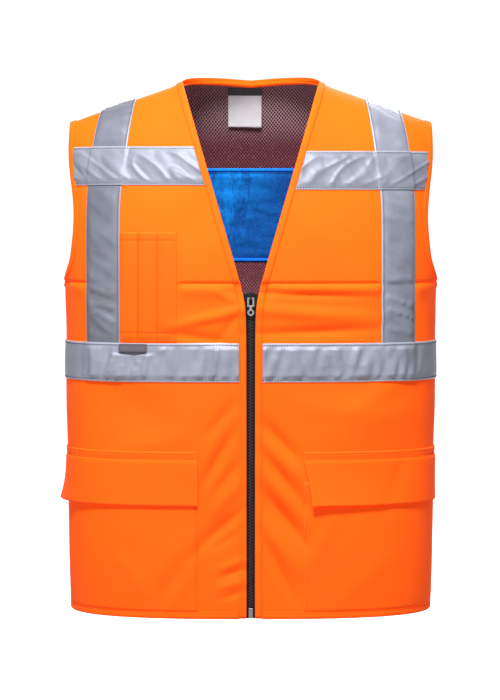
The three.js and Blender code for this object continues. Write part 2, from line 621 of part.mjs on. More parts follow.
// Label in the back neck
const labelTop = BACK_NECK_HEIGHT - LABEL_DROP;
const labelGrid = steps(labelTop - LABEL_HEIGHT, labelTop, 4).map((height) =>
  steps(LABEL_OFFSET - LABEL_WIDTH / 2, LABEL_OFFSET + LABEL_WIDTH / 2, 4).map((x) => {
    const c = levelAt(height, x);
    return { w: acrossAt(x, c), c, face: -1 };
  }),
);
const LABEL_DEPTH = PANEL_DEPTH - 2 * GAP; // it hangs a little clear of the lining
vest.add(wall("neck_label", LABEL_WHITE, labelGrid, LABEL_DEPTH - TRIM, LABEL_DEPTH));

// Bindings of the zip edges, the neck and the armholes
const acrossDirection = ({ w, c, face }) =>
  foldedForm(w + STEP_ACROSS, c, face).point.sub(foldedForm(w - STEP_ACROSS, c, face).point).normalize();
for (const [side, sign] of Object.entries(SIDES)) {
  const edgeLevels = [...frontLevels(side).slice(0, -1), TOP_LEVEL - SEAM];
  const edge = frontGrid(side, edgeLevels, 0, 0).flat();
  const inward = (i) => acrossDirection(edge[i]).multiplyScalar(sign);
  vest.add(carried("front_binding_" + side, ORANGE_BINDING, edge, bindingProfile(0), inward));

  const armhole = (levels, face) => levels.map((c) => ({ w: sign * sideEdge(c), c, face }));
  const rising = frontLevels(side).filter((c) => c > CREASE);
  const falling = BACK_LEVELS.filter((c) => c > CREASE).reverse();
  const ends = armhole([CREASE, RIDGE], 1);
  const loop = [ends[0], ...armhole(rising.slice(0, -1), 1), ends[1], ...armhole(falling.slice(1), -1)];
  const profile = bindingProfile(LINED, BINDING_TURN, LOOSE_GAP);
  const into = squareTo(loop, -sign, true);
  vest.add(carried("armhole_binding_" + side, ORANGE_BINDING, loop, profile, into, true));
}

// Binding of the back neck
const neckPath = backGrid([TOP_LEVEL], NECK_COLUMNS.length - 1)[0];
const neckSquare = squareTo(neckPath, -1);
const neckInward = (i) => {
  if (i > 0 && i < neckPath.length - 1) return neckSquare(i);
  return acrossDirection(neckPath[i]).multiplyScalar(i ? 1 : -1).add(neckSquare(i)).normalize();
};
const neckProfile = bindingProfile(LINED, BINDING_WIDTH, LOOSE_GAP);
vest.add(carried("back_neck_binding", ORANGE_BINDING, neckPath, neckProfile, neckInward));

// Rows that run from one zip edge round the back to the other
const around = (front, back) => [
  ...front("right").slice(TRIM_IN),
  ...back,
  ...front("left").slice(TRIM_IN).reverse(),
];
const aroundRow = (c) =>
  around(
    (side) => frontColumns(c, side).map((w) => ({ w, c, face: 1 })),
    backColumns(c).map((w) => ({ w, c, face: -1 })),
  );
const isBrace = (column, inner, outer) => column >= inner && column <= outer;
const braceColumns = around(
  () => range(SIDE + 1).map((j) => isBrace(j, BRACE_IN, BRACE_OUT)),
  range(BACK_SIDE + 1).map((j) => isBrace(Math.abs(j - BACK_MIDDLE), BACK_BRACE_IN, BACK_BRACE_OUT)),
);
const hemPath = aroundRow(HEM);
const upwards = new THREE.Vector3(0, 0, 1);
vest.add(carried("hem_binding", ORANGE_BINDING, hemPath, bindingProfile(LINED), () => upwards));

// Reflective tape: the waist and chest tapes are sewn on over the braces
function tape(name, grid, overBrace) {
  const under = (i, j) => ON_CLOTH + (overBrace(i, j) ? LAYER : 0);
  return wall(name, SILVER_TAPE, grid, under, (i, j) => under(i, j) + TRIM);
}
const waistGrid = [WAIST_TAPE_BOTTOM, BRACE_END, WAIST_TAPE_TOP].map(aroundRow);
vest.add(tape("waist_tape", waistGrid, (i, j) => i > 0 && braceColumns[j]));
for (const [side, sign] of Object.entries(SIDES)) {
  const top = -CHEST_TAPE_DROP[side];
  const chestGrid = frontGrid(side, levelsBetween(side, top - TAPE_WIDTH, top), TRIM_IN, TRIM_OUT);
  vest.add(tape("chest_tape_" + side, chestGrid, (i, j) => isBrace(TRIM_IN + j, BRACE_IN, BRACE_OUT)));

  const front = frontGrid(side, levelsBetween(side, BRACE_END, RIDGE), BRACE_IN, BRACE_OUT);
  const reach = steps(BACK_BRACE_IN, BACK_BRACE_OUT, BACK_BRACE_OUT - BACK_BRACE_IN);
  const columns = reach.map((j) => BACK_MIDDLE + sign * j);
  const levels = BACK_LEVELS.filter((c) => c >= BRACE_END).reverse();
  const back = levels.map((c) => columns.map((j) => backPlace(j, c)));
  vest.add(tape("brace_" + side, [...front, ...back], () => false));
}

// Pen pocket between the waist tape and the chest, with its slots puffed out
const penGrid = levelsBetween("right", WAIST_TAPE_TOP, PEN_POCKET_TOP).map((level) => {
  const c = level === WAIST_TAPE_TOP ? level + SEAM : level;
  const columns = frontColumns(c, "right").slice(POCKET_EDGE, BRACE_IN + 1);
  columns[PEN_SLOTS] = alongGirth(columns[PEN_SLOTS], c, 1, -SEAM);
  const halves = steps(0, PEN_SLOTS, 2 * PEN_SLOTS);
  return halves.map((k) => ({ w: (columns[Math.floor(k)] + columns[Math.ceil(k)]) / 2, c, face: 1 }));
});
const penUnder = (i, j) => ON_CLOTH + (i > 0 && j % 2 ? PEN_SLOT_PUFF : 0);
vest.add(wall("pen_pocket", ORANGE, penGrid, penUnder, (i, j) => penUnder(i, j) + TRIM));

// Woven tab sewn on over the top edge of the waist tape, beside the brace
const tabGrid = steps(WAIST_TAPE_TOP - TAB_DROP - TAB_HEIGHT, WAIST_TAPE_TOP - TAB_DROP, 1).map((c) => {
  const brace = -braceEdge(c);
  return steps(brace, alongGirth(brace, c, 1, -TAB_LENGTH), 3).map((w) => ({ w, c, face: 1 }));
});
vest.add(wall("side_tab", TAB_GREY, tabGrid, ON_CLOTH + 2 * LAYER, ON_CLOTH + 2 * LAYER + TRIM));

// Lower pockets, each with a flap that hangs over the mouth of its bag
const bagLevels = (side) => [HEM_TRIM + SEAM, ...levelsBetween(side, HEM_TRIM + SEAM, FLAP_LEVELS[1])];
const flapLevels = [...FLAP_LEVELS, POCKET_TOP];
const flapTurn = FLAP_LEVELS.length - 1;
const lastColumn = TRIM_OUT - POCKET_EDGE;
const bagPuff = (level, j) => {
  const up = clamp01((level - HEM) / (FLAP_STITCH_LINE - HEM));
  return POCKET_PUFF * Math.sin((Math.PI * j) / lastColumn) * Math.sin(Math.PI * up ** 0.8);
};
for (const side of ["right", "left"]) {
  const levels = bagLevels(side);
  const bagGrid = frontGrid(side, levels, POCKET_EDGE, TRIM_OUT);
  const bagUnder = (i, j) => ON_CLOTH + bagPuff(levels[i], j);
  vest.add(wall("pocket_bag_" + side, ORANGE, bagGrid, bagUnder, (i, j) => bagUnder(i, j) + TRIM));

  const flapUnder = (i, j) => {
    if (i >= flapTurn) return ON_CLOTH;
    const down = 1 - i / flapTurn;
    const outer = OUTER_FLARE[side] * (j / lastColumn) ** 3;
    const inner = INNER_FLARE[side] * (1 - j / lastColumn) ** 3;
    const lift = FLAP_LIFT[side] * down ** 1.5 + (outer + inner) * down ** 2;
    return ON_CLOTH + LAYER + bagPuff(flapLevels[i], j) + lift;
  };
  const flapGrid = frontGrid(side, flapLevels, POCKET_EDGE, TRIM_OUT);
  vest.add(wall("pocket_flap_" + side, ORANGE, flapGrid, flapUnder, (i, j) => flapUnder(i, j) + CLOTH));
}

// Zip: woven tapes behind the fronts, and the closed chain between them
const zipLevels = [...levelsBetween("left", HEM, ZIP_TOP - BINDING_WIDTH), ZIP_TOP];
for (const [side, sign] of Object.entries(SIDES)) {
  const inner = CHAIN_WIDTH / 2 + GAP;
  const across = [inner, inner + ZIP_TAPE_WIDTH];
  const grid = zipLevels.map((c) => across.map((x) => ({ w: acrossAt(sign * x, c), c, face: 1 })));
  vest.add(wall("zip_tape_" + side, ZIP_BLACK, grid, ZIP_TAPE_DEPTH, ZIP_TAPE_DEPTH + TRIM));
}
const chainBottom = HEM + BOX_HEIGHT + GAP;
const chainLevels = [chainBottom, ...zipLevels.filter((c) => c > chainBottom && c < CHAIN_TOP), CHAIN_TOP];
const chainGrid = chainLevels.map((c) =>
  [-CHAIN_WIDTH / 2, CHAIN_WIDTH / 2].map((x) => ({ w: acrossAt(x, c), c, face: 1 })),
);
const chainHalf = CHAIN_THICKNESS / 2;
vest.add(wall("zip_chain", CHAIN_BLACK, chainGrid, CHAIN_DEPTH - chainHalf, CHAIN_DEPTH + chainHalf));

// Hard pieces of the zip are drawn upright, facing -Y, and set on the middle of the chain
const wasm = await Module();
wasm.setup();
function solidOf(geometry) {
  for (const name of ["normal", "uv"]) geometry.deleteAttribute(name);
  const merged = mergeVertices(geometry, 1e-4);
  const [vertProperties, triVerts] = [merged.attributes.position.array, new Uint32Array(merged.index.array)];
  return new wasm.Manifold(new wasm.Mesh({ numProp: 3, vertProperties, triVerts }));
}
const joined = (geometries) => geometries.map(solidOf).reduce((whole, solid) => whole.add(solid));
const block = (width, depth, height, x, y, z) =>
  new THREE.BoxGeometry(width, depth, height).translate(x, y, z);
const plateOf = (shape, thickness, segments = 1) =>
  new THREE.ExtrudeGeometry(shape, { depth: thickness, bevelEnabled: false, curveSegments: segments })
    .translate(0, 0, -thickness / 2)
    .rotateX(Math.PI / 2);
function hardPiece(name, material, solid, spot) {
  const { vertProperties, triVerts } = solid.getMesh();
  const geometry = new THREE.BufferGeometry();
  geometry.setAttribute("position", new THREE.Float32BufferAttribute(vertProperties, 3));
  geometry.setIndex(new THREE.Uint32BufferAttribute(triVerts, 1));
  geometry.computeVertexNormals();
  const mesh = new THREE.Mesh(geometry, material);
  mesh.name = name;
  mesh.position.copy(spot);
  return mesh;
}
const chainMiddle = (c) => place({ w: 0, c, face: 1 }, CHAIN_DEPTH);

// Slider: two plates joined by a post above the chain, and a bridge that stands out in front
const half = SLIDER_LENGTH / 2;
const plateShape = new THREE.Shape([
  new THREE.Vector2(-SLIDER_WIDTH / 2, half),
  new THREE.Vector2(-SLIDER_FOOT_WIDTH / 2, -half),
  new THREE.Vector2(SLIDER_FOOT_WIDTH / 2, -half),
  new THREE.Vector2(SLIDER_WIDTH / 2, half),
]);
const plateY = (SLIDER_THROAT + SLIDER_PLATE) / 2;
const plateFront = plateY + SLIDER_PLATE / 2;
const bridgeOut = plateFront + BRIDGE_CLEARANCE + BRIDGE_BAR;
const leg = (z) => block(BRIDGE_WIDTH, bridgeOut - plateY, BRIDGE_BAR, 0, -(bridgeOut + plateY) / 2, z);
const bridgeLeg = (BRIDGE_LENGTH - BRIDGE_BAR) / 2;
const postHeight = SLIDER_TOP - CHAIN_TOP - GAP;
const slider = joined([
  plateOf(plateShape, SLIDER_PLATE).translate(0, -plateY, 0),
  plateOf(plateShape, SLIDER_PLATE).translate(0, plateY, 0),
  block(SLIDER_POST_WIDTH, 2 * plateY, postHeight, 0, 0, half - postHeight / 2),
  leg(bridgeLeg),
  leg(-bridgeLeg),
  block(BRIDGE_WIDTH, BRIDGE_BAR, BRIDGE_LENGTH, 0, -bridgeOut + BRIDGE_BAR / 2, 0),
]);
const sliderSpot = chainMiddle(SLIDER_TOP - half);
vest.add(hardPiece("zip_slider", METAL_BLACK, slider, sliderSpot));

// Pull: a frame round the bridge, a neck and a ring, drawn with its hinge line at the origin
const barHalf = PULL_THICKNESS / 2;
const frameFoot = -barHalf - PULL_WINDOW_LENGTH - PULL_THICKNESS;
const ringMiddle = barHalf - PULL_LENGTH + PULL_RING_RADIUS;
const ringStart = Math.asin(PULL_NECK_WIDTH / 2 / PULL_RING_RADIUS);
const pullShape = new THREE.Shape();
pullShape.moveTo(-PULL_WIDTH / 2, barHalf);
pullShape.lineTo(-PULL_WIDTH / 2, frameFoot);
pullShape.lineTo(-PULL_NECK_WIDTH / 2, frameFoot);
pullShape.absarc(0, ringMiddle, PULL_RING_RADIUS, Math.PI / 2 + ringStart, Math.PI * 2.5 - ringStart);
pullShape.lineTo(PULL_NECK_WIDTH / 2, frameFoot);
pullShape.lineTo(PULL_WIDTH / 2, frameFoot);
pullShape.lineTo(PULL_WIDTH / 2, barHalf);
const windowHalf = PULL_WINDOW_WIDTH / 2;
const pullWindow = new THREE.Path();
pullWindow.moveTo(-windowHalf, -barHalf);
pullWindow.lineTo(windowHalf, -barHalf);
pullWindow.lineTo(windowHalf, -barHalf - PULL_WINDOW_LENGTH);
pullWindow.lineTo(-windowHalf, -barHalf - PULL_WINDOW_LENGTH);
const pullHole = new THREE.Path().absarc(0, ringMiddle, PULL_HOLE_RADIUS, 0, 2 * Math.PI, true);
pullShape.holes = [pullWindow, pullHole];
const hinge = new THREE.Vector3(
  0,
  -plateFront - BRIDGE_CLEARANCE / 2,
  -bridgeLeg + BRIDGE_BAR / 2 + PULL_PLAY + barHalf,
).add(sliderSpot);
vest.add(hardPiece("zip_pull", METAL, solidOf(plateOf(pullShape, PULL_THICKNESS, 10)), hinge));

const bottomBox = solidOf(block(BOX_WIDTH, BOX_THICKNESS, BOX_HEIGHT, 0, 0, 0));
vest.add(hardPiece("zip_bottom_box", METAL, bottomBox, chainMiddle(HEM + BOX_HEIGHT / 2)));

export default vest;
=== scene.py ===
"""A sleeveless high-visibility work vest with an evaporative cooling panel, worn and zipped up.

Metres, +Z up, the front faces -Y and +X is the wearer's left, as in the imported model. All cloth lies
on one form, the worn shape of the body. A place on it is (w, c): w is 0 at the middle and 1 or -1 at
the side seams and runs on round the back to 2 or -2, and c is the level, which runs on over the
shoulder seam at RIDGE and down the back.
"""

import math

import bpy
import numpy as np
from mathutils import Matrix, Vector


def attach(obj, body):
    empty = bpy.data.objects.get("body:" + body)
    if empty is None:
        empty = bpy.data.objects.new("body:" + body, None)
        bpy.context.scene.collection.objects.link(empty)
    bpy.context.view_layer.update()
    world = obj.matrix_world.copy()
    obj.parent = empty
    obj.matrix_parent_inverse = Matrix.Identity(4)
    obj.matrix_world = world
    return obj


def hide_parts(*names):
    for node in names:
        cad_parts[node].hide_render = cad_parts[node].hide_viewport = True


bl_info = {
    "name": "Cooling Vest",
    "version": (1, 0, 0),
    "blender": (4, 5, 0),
    "location": "View3D > Sidebar > Cooling Vest",
    "description": "Builds a high-visibility cooling vest on its packed frame",
    "category": "Add Mesh",
}

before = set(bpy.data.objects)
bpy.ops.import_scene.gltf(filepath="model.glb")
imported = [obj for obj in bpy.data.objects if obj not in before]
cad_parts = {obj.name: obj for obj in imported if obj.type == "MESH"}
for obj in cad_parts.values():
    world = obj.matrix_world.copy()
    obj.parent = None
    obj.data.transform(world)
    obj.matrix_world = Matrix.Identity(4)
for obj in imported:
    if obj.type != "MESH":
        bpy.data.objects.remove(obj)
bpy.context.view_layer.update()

# ---- body of the vest
BODY_LENGTH = 0.674
HALF_WIDTH = 0.250
FRONT_DEPTH = 0.115
BACK_DEPTH = 0.112
SHOULDER_SLOPE = 0.353
SHOULDER_MIDDLE = 0.168
SHOULDER_TIP = 0.241
NECK_HALF_WIDTH = 0.092
NECK_RISE = 0.0035
NECK_RISE_WIDTH = 0.034
BACK_NECK_HEIGHT = 0.027
NECK_HOLLOW = 1.4
NECK_BEND = 0.06
ZIP_TOP_DROP = 0.262
ZIP_OPENING = 0.0068
ARMHOLE_DROP = 0.238
ARMHOLE_WAIST = 0.0075
ARMHOLE_INSET = 0.002
ARMHOLE_FOOT = 0.040
CREASE_PUFF = 0.0042
CREASE_PUFF_DROP = 0.0065
CREASE_GROOVE = 0.0023
CREASE_START = 0.024
CREASE_END = 0.010
ARCH_LENGTH = 0.100

# ---- layers of cloth
CLOTH = 0.0012
TRIM = 0.001
GAP = 0.00035
SEAM = 0.0005
BINDING_WIDTH = 0.008
BINDING_GAP = 0.0006
LOOSE_GAP = 0.0015
BINDING_TURN = 0.003
NECK_TURN = 0.006
LINING_GAP = 0.0006
LINING_INSET = 0.002
LINING_EASE = 0.005
ON_CLOTH = CLOTH + GAP
LAYER = TRIM + GAP
LINED = LINING_GAP + TRIM
PANEL_DEPTH = -LINED - GAP
ZIP_TAPE_DEPTH = -(BINDING_GAP + GAP + 2 * TRIM)
CHAIN_DEPTH = ZIP_TAPE_DEPTH + TRIM / 2

# ---- tapes, pockets and what is inside the back
TAPE_WIDTH = 0.050
STITCH_INSET = 0.0022
CHEST_TAPE_DROP = {"right": 0.059, "left": 0.065}
BRACE_SPREAD = 0.171
BRACE_LEAN = 0.018
BRACE_BEND = -0.150
POCKET_SPREAD = 0.070
PEN_SLOTS = 3
PEN_SLOT_WIDTH = 0.025
PEN_POCKET_HEIGHT = 0.144
PEN_REACH = (0.096, 0.174)
BRACE_REACH = 0.042
TAB_LENGTH = 0.036
TAB_HEIGHT = 0.0105
TAB_REACH = (0.132, 0.174)
PIPING_WIDTH = 0.005
LABEL_WIDTH = 0.0455
LABEL_HEIGHT = 0.052
LABEL_DROP = 0.0018
LABEL_BAND = 0.0115
LABEL_OFFSET = -0.008

# ---- levels
HEM = -BODY_LENGTH
CREASE = -ARMHOLE_DROP
WAIST_TOP = -0.315
WAIST_BOTTOM = WAIST_TOP - TAPE_WIDTH
BRACE_END = WAIST_TOP - 0.025
PEN_TOP = WAIST_TOP + PEN_POCKET_HEIGHT
ARCH_FOOT = -min(CHEST_TAPE_DROP.values())
RIDGE = ARCH_FOOT + ARCH_LENGTH
PANEL_TOP = -0.084
PANEL_BOTTOM = PANEL_TOP - 0.130
HEM_TRIM = HEM + BINDING_WIDTH + SEAM
POCKET_TOP = HEM + 0.217
FLAP_STITCH = POCKET_TOP - 0.009
FLAP_BOTTOM = POCKET_TOP - 0.070
ZIP_TOP = -0.250
CHAIN_TOP = -0.252
BOX_HEIGHT = 0.013

SIDES = {"right": -1, "left": 1}

# Cross sections from hem to shoulder. Heights are shares of BODY_LENGTH, half widths of HALF_WIDTH,
# and depths of FRONT_DEPTH and BACK_DEPTH.
COLUMNS = ("height", "half_width", "front", "back", "centre", "squareness")
SECTIONS = np.array(
    [
        (0.0, 0.962, 1.06, 0.86, 0.0, 2.75),
        (0.21, 0.971, 0.98, 0.88, 0.0, 2.8),
        (0.41, 0.987, 0.98, 0.9, 0.01, 2.8),
        (0.54, 0.987, 0.99, 0.93, 0.02, 2.8),
        (0.645, 0.993, 1.0, 0.98, 0.03, 2.75),
        (0.8, 1.0, 1.0, 1.02, 0.05, 2.7),
        (1.0, 1.03, 1.0, 1.0, 0.08, 2.6),
    ]
)

# Soft folds: the face, the place as shares of HALF_WIDTH and BODY_LENGTH, the turn in degrees from
# level, the length and width as shares of HALF_WIDTH, and the rise in millimetres.
FOLD_COLUMNS = ("face", "x", "z", "turn", "length", "width", "rise")
FOLDS = [
    (1, 0.14, -0.66, -48, 0.26, 0.07, -1.4),
    (1, 0.15, -0.73, -50, 0.28, 0.075, 1.6),
    (1, 0.17, -0.8, -52, 0.28, 0.07, -1.4),
    (1, 0.17, -0.88, -58, 0.28, 0.075, 1.4),
    (1, -0.16, -0.67, 58, 0.3, 0.08, 1.6),
    (1, -0.15, -0.78, 50, 0.26, 0.075, -1.6),
    (1, -0.36, -0.88, 55, 0.28, 0.08, 2.3),
    (1, 0.42, -0.39, 0, 0.4, 0.07, -1.1),
    (1, 0.42, -0.43, 2, 0.42, 0.07, 1.4),
    (1, -0.22, -0.43, 8, 0.3, 0.07, 1.4),
    (1, -0.6, -0.6, -20, 0.3, 0.12, -3.4),
    (1, 0.62, -0.62, 24, 0.34, 0.12, 2.8),
    (1, -0.27, -0.22, 58, 0.24, 0.1, -2.3),
    (1, 0.3, -0.24, -52, 0.28, 0.1, 2.3),
    (1, 0.156, -0.657, -49, 0.2, 0.026, -5.4),
    (1, 0.175, -0.733, -52, 0.28, 0.028, -6.6),
    (1, 0.178, -0.808, -52, 0.28, 0.028, -6.4),
    (1, 0.147, -0.905, -63, 0.28, 0.022, -6.4),
    (1, 0.17, -0.695, -50, 0.24, 0.03, 4.3),
    (1, 0.18, -0.77, -52, 0.26, 0.03, 4.1),
    (1, 0.16, -0.86, -56, 0.26, 0.03, 4.1),
    (1, -0.167, -0.688, 62, 0.26, 0.026, -6.4),
    (1, -0.161, -0.616, 52, 0.18, 0.025, -3.3),
    (1, -0.13, -0.73, 55, 0.16, 0.02, -3.0),
    (1, -0.135, -0.822, 45, 0.2, 0.026, -5.2),
    (1, -0.13, -0.85, 35, 0.14, 0.018, -2.7),
    (1, -0.12, -0.765, 50, 0.2, 0.03, 3.4),
    (1, -0.093, -0.895, 22, 0.12, 0.014, 3.0),
    (1, -0.095, -0.913, 20, 0.12, 0.012, -3.0),
    (1, -0.093, -0.934, 18, 0.12, 0.014, 2.7),
    (1, -0.095, -0.955, 18, 0.12, 0.012, -2.7),
    (1, -0.24, -0.85, 52, 0.2, 0.03, -3.4),
    (1, 0.3, -0.372, -2, 0.5, 0.018, -4.2),
    (1, 0.28, -0.408, -4, 0.5, 0.032, 4.2),
    (1, 0.32, -0.445, 2, 0.5, 0.026, -4.7),
    (1, -0.2, -0.416, 13, 0.3, 0.022, 4.2),
    (1, -0.12, -0.437, 57, 0.12, 0.018, -3.2),
    (1, -0.28, -0.455, -8, 0.26, 0.024, -3.2),
    (1, -0.13, -0.377, -29, 0.12, 0.016, 2.6),
    (1, -0.56, -0.665, 12, 0.3, 0.05, 1.6),
    (1, 0.52, -0.6, -8, 0.4, 0.06, 1.8),
    (1, 0.78, -0.72, 70, 0.3, 0.05, -1.8),
    (1, -0.62, -0.92, -50, 0.3, 0.05, 1.6),
    (1, 0.58, -0.93, 40, 0.34, 0.06, 1.6),
    (1, -0.42, -0.93, 62, 0.25, 0.035, -2.6),
    (1, -0.36, -0.945, 60, 0.2, 0.03, 1.8),
    (1, -0.7, -0.52, -24, 0.3, 0.05, 1.8),
    (1, 0.7, -0.56, 30, 0.34, 0.05, 2.0),
    (1, 0.36, -0.86, 64, 0.24, 0.04, 1.8),
    (-1, 0.0, -0.42, 0, 0.6, 0.1, -3.0),
    (-1, 0.35, -0.62, 70, 0.5, 0.12, 3.0),
    (-1, -0.38, -0.66, -72, 0.5, 0.12, 3.0),
    (-1, 0.02, -0.8, 88, 0.45, 0.1, -2.6),
    (-1, 0.12, -0.7, 60, 0.3, 0.04, -1.6),
    (-1, -0.2, -0.84, -58, 0.34, 0.045, -1.8),
    (-1, 0.5, -0.88, 64, 0.3, 0.05, 1.6),
    (-1, -0.1, -0.3, 8, 0.4, 0.05, 1.6),
]

STEP_ACROSS = 1e-3
STEP_UP = 3e-4


def clamp01(t):
    return np.clip(t, 0.0, 1.0)


def ease(t):
    """3 t^2 - 2 t^3 of t held between 0 and 1."""
    t = clamp01(t)
    return t * t * (3 - 2 * t)


def mix(a, b, t):
    return a + (b - a) * t


def unit(v):
    return v / np.maximum(np.linalg.norm(v, axis=-1, keepdims=True), 1e-12)


# A table of random slopes, the same each run, for noise()
SLOPES = np.random.default_rng(11).uniform(-1, 1, (64, 64, 2))


def noise(x, y):
    """Smooth noise from -1 to 1: random slopes at whole numbers, blended with 6t^5 - 15t^4 + 10t^3."""
    x, y = np.broadcast_arrays(np.asarray(x, float), np.asarray(y, float))
    left, low = np.floor(x).astype(int), np.floor(y).astype(int)
    s, t = x - left, y - low
    blend = [v**3 * (v * (v * 6 - 15) + 10) for v in (s, t)]

    def corner(i, j):
        slope = SLOPES[(left + i) % 64, (low + j) % 64]
        return slope[..., 0] * (s - i) + slope[..., 1] * (t - j)

    below = mix(corner(0, 0), corner(1, 0), blend[0])
    above = mix(corner(0, 1), corner(1, 1), blend[0])
    return 1.6 * mix(below, above, blend[1])


# ---- the form


def section(column, share):
    """A column of SECTIONS at a share of the height, as a cubic through the rows, whose slope at each row is that of the line between the row's neighbours."""
    heights, rows = SECTIONS[:, 0], SECTIONS[:, COLUMNS.index(column)]
    last = len(rows) - 1
    k = np.clip(np.searchsorted(heights, share, side="right") - 1, 0, last - 1)
    before, after = np.maximum(k - 1, 0), np.minimum(k + 2, last)
    span = heights[k + 1] - heights[k]
    t = clamp01((share - heights[k]) / span)
    m0 = (rows[k + 1] - rows[before]) / (heights[k + 1] - heights[before]) * span
    m1 = (rows[after] - rows[k]) / (heights[after] - heights[k]) * span
    rise = rows[k + 1] - rows[k]
    return rows[k] + t * (m0 + t * (3 * rise - 2 * m0 - m1 + t * (m0 + m1 - 2 * rise)))


def ridge_height(x):
    """Height of the shoulder seam: slope x (middle - out) + rise near the neck, with a parabola for out inside the neck."""
    x = np.abs(x)
    inside = (x * x + NECK_HALF_WIDTH**2) / (2 * NECK_HALF_WIDTH)
    out = np.where(x < NECK_HALF_WIDTH, inside, x)
    rise = NECK_RISE * ease(
        (NECK_HALF_WIDTH + NECK_RISE_WIDTH / 2 - out) / NECK_RISE_WIDTH
    )
    return SHOULDER_SLOPE * (SHOULDER_MIDDLE - out) + rise


def arch_turn(z, x):
    """Angle of the quarter ellipse from the crease to the shoulder seam: asin((z - crease) / (ridge - crease))."""
    return np.arcsin(clamp01((z - CREASE) / (ridge_height(x) - CREASE)))


def height_at(c, x):
    """Height of a level: itself up to ARCH_FOOT, and above it even steps of the arch's angle."""
    foot = arch_turn(ARCH_FOOT, x)
    turn = mix(foot, math.pi / 2, clamp01((c - ARCH_FOOT) / ARCH_LENGTH))
    return np.where(
        c <= ARCH_FOOT, c, CREASE + (ridge_height(x) - CREASE) * np.sin(turn)
    )


def level_at(z, x):
    """Level of a height at x, the reverse of height_at."""
    foot = arch_turn(ARCH_FOOT, x)
    level = ARCH_FOOT + ARCH_LENGTH * (arch_turn(z, x) - foot) / (math.pi / 2 - foot)
    return np.where(z <= ARCH_FOOT, z, level)


def share_at(c):
    """Share of the height at which SECTIONS is read for a level."""
    above = ARCH_FOOT * (1 - (c - ARCH_FOOT) / ARCH_LENGTH)
    return 1 + np.where(c <= ARCH_FOOT, c, above) / BODY_LENGTH


def across_at(x, c):
    """The w at x: the direction, seen from above, in which the level's superellipse passes through x."""
    share = share_at(c)
    power = section("squareness", share)
    part = np.minimum(1, np.abs(x) / (HALF_WIDTH * section("half_width", share)))
    turn = np.arctan2(part, (1 - part**power) ** (1 / power))
    return np.sign(x) * turn / (math.pi / 2)


def band(x, low, high, soft=0.008):
    """1 from low to high, eased to 0 outside."""
    return ease((x - low) / soft + 1) * ease((high - x) / soft + 1)


def fold_rise(x, z, face):
    """Sum over FOLDS of rise x (1 - along^2)^2 x exp(-across^2), the swelling under the crease, and fine crumples."""
    rise = np.zeros(np.broadcast(x, z, face).shape)
    for row in FOLDS:
        fold = dict(zip(FOLD_COLUMNS, row))
        turn = math.radians(fold["turn"])
        dx, dz = x - fold["x"] * HALF_WIDTH, z - fold["z"] * BODY_LENGTH
        along = (dx * math.cos(turn) + dz * math.sin(turn)) / (
            fold["length"] * HALF_WIDTH
        )
        across = (dz * math.cos(turn) - dx * math.sin(turn)) / (
            fold["width"] * HALF_WIDTH
        )
        shape = np.maximum(0, 1 - along * along) ** 2 * np.exp(-across * across)
        rise += np.where(face == fold["face"], 1e-3 * fold["rise"] * shape, 0)
    below = np.maximum(0, CREASE - z) / CREASE_PUFF_DROP
    puff = (
        CREASE_PUFF
        * below
        * np.exp(1 - below)
        * ease((np.abs(x) - CREASE_START) / CREASE_START)
        * ease((HALF_WIDTH - CREASE_END - np.abs(x)) / CREASE_START)
    )
    groove = CREASE_GROOVE * np.exp(-(((z - CREASE - 0.0015) / 0.0018) ** 2))
    pouch = band(-x, *PEN_REACH)
    brace = band(np.abs(x), BRACE_SPREAD, BRACE_SPREAD + BRACE_REACH)
    rise += np.where(face > 0, (puff - groove) * (1 - pouch) * (1 - 0.85 * brace), 0)
    crumple = bpy.context.scene.vest_cloth.crumple
    rise += crumple * noise(x / 0.055 + 7.3 * face, z / 0.07)
    return rise + 0.4 * crumple * noise(x / 0.021 + z / 0.05, z / 0.03 + 3.1)


def plain_form(w, c):
    """Superellipses of the sections, closed over the shoulders: x = half width x sine x reach, y = centre - depth x arch x cosine x reach, with reach = (sine^p + cosine^p)^(-1/p) and arch the cosine of the arch's angle. Returns points and the face, 1 in front and -1 behind."""
    w, c = np.broadcast_arrays(np.asarray(w, float), np.asarray(c, float))
    face = np.where(c > RIDGE, -1, 1)
    c = np.where(c > RIDGE, 2 * RIDGE - c, c)
    face = np.where(np.abs(w) > 1, -face, face)
    w = np.where(np.abs(w) > 1, np.sign(w) * (2 - np.abs(w)), w)
    share = share_at(c)
    power = section("squareness", share)
    sine = np.sin(np.abs(w) * math.pi / 2)
    cosine = np.maximum(0, np.cos(np.abs(w) * math.pi / 2))
    reach = (sine**power + cosine**power) ** (-1 / power)
    x = np.sign(w) * HALF_WIDTH * section("half_width", share) * sine * reach
    z = height_at(c, x)
    arch = np.cos(arch_turn(z, x))
    depth = np.where(
        face > 0,
        FRONT_DEPTH * section("front", share),
        BACK_DEPTH * section("back", share),
    )
    y = FRONT_DEPTH * section("centre", share) - face * depth * arch * cosine * reach
    return np.stack([x, y, z], -1), face


def slopes_of(form, w, c):
    """Rates of a form across and up, from short steps."""
    across = form(w + STEP_ACROSS, c) - form(w - STEP_ACROSS, c)
    up = form(w, c + STEP_UP) - form(w, c - STEP_UP)
    return across / (2 * STEP_ACROSS), up / (2 * STEP_UP)


def folded_form(w, c):
    """The plain form, moved along its normal by fold_rise."""
    point, face = plain_form(w, c)
    normal = unit(np.cross(*slopes_of(lambda a, b: plain_form(a, b)[0], w, c)))
    rise = fold_rise(point[..., 0], point[..., 2], face)
    return point + normal * rise[..., None]


def surface(w, c):
    """Points of the folded form and its outward normals."""
    w, c = np.broadcast_arrays(np.asarray(w, float), np.asarray(c, float))
    return folded_form(w, c), unit(np.cross(*slopes_of(folded_form, w, c)))


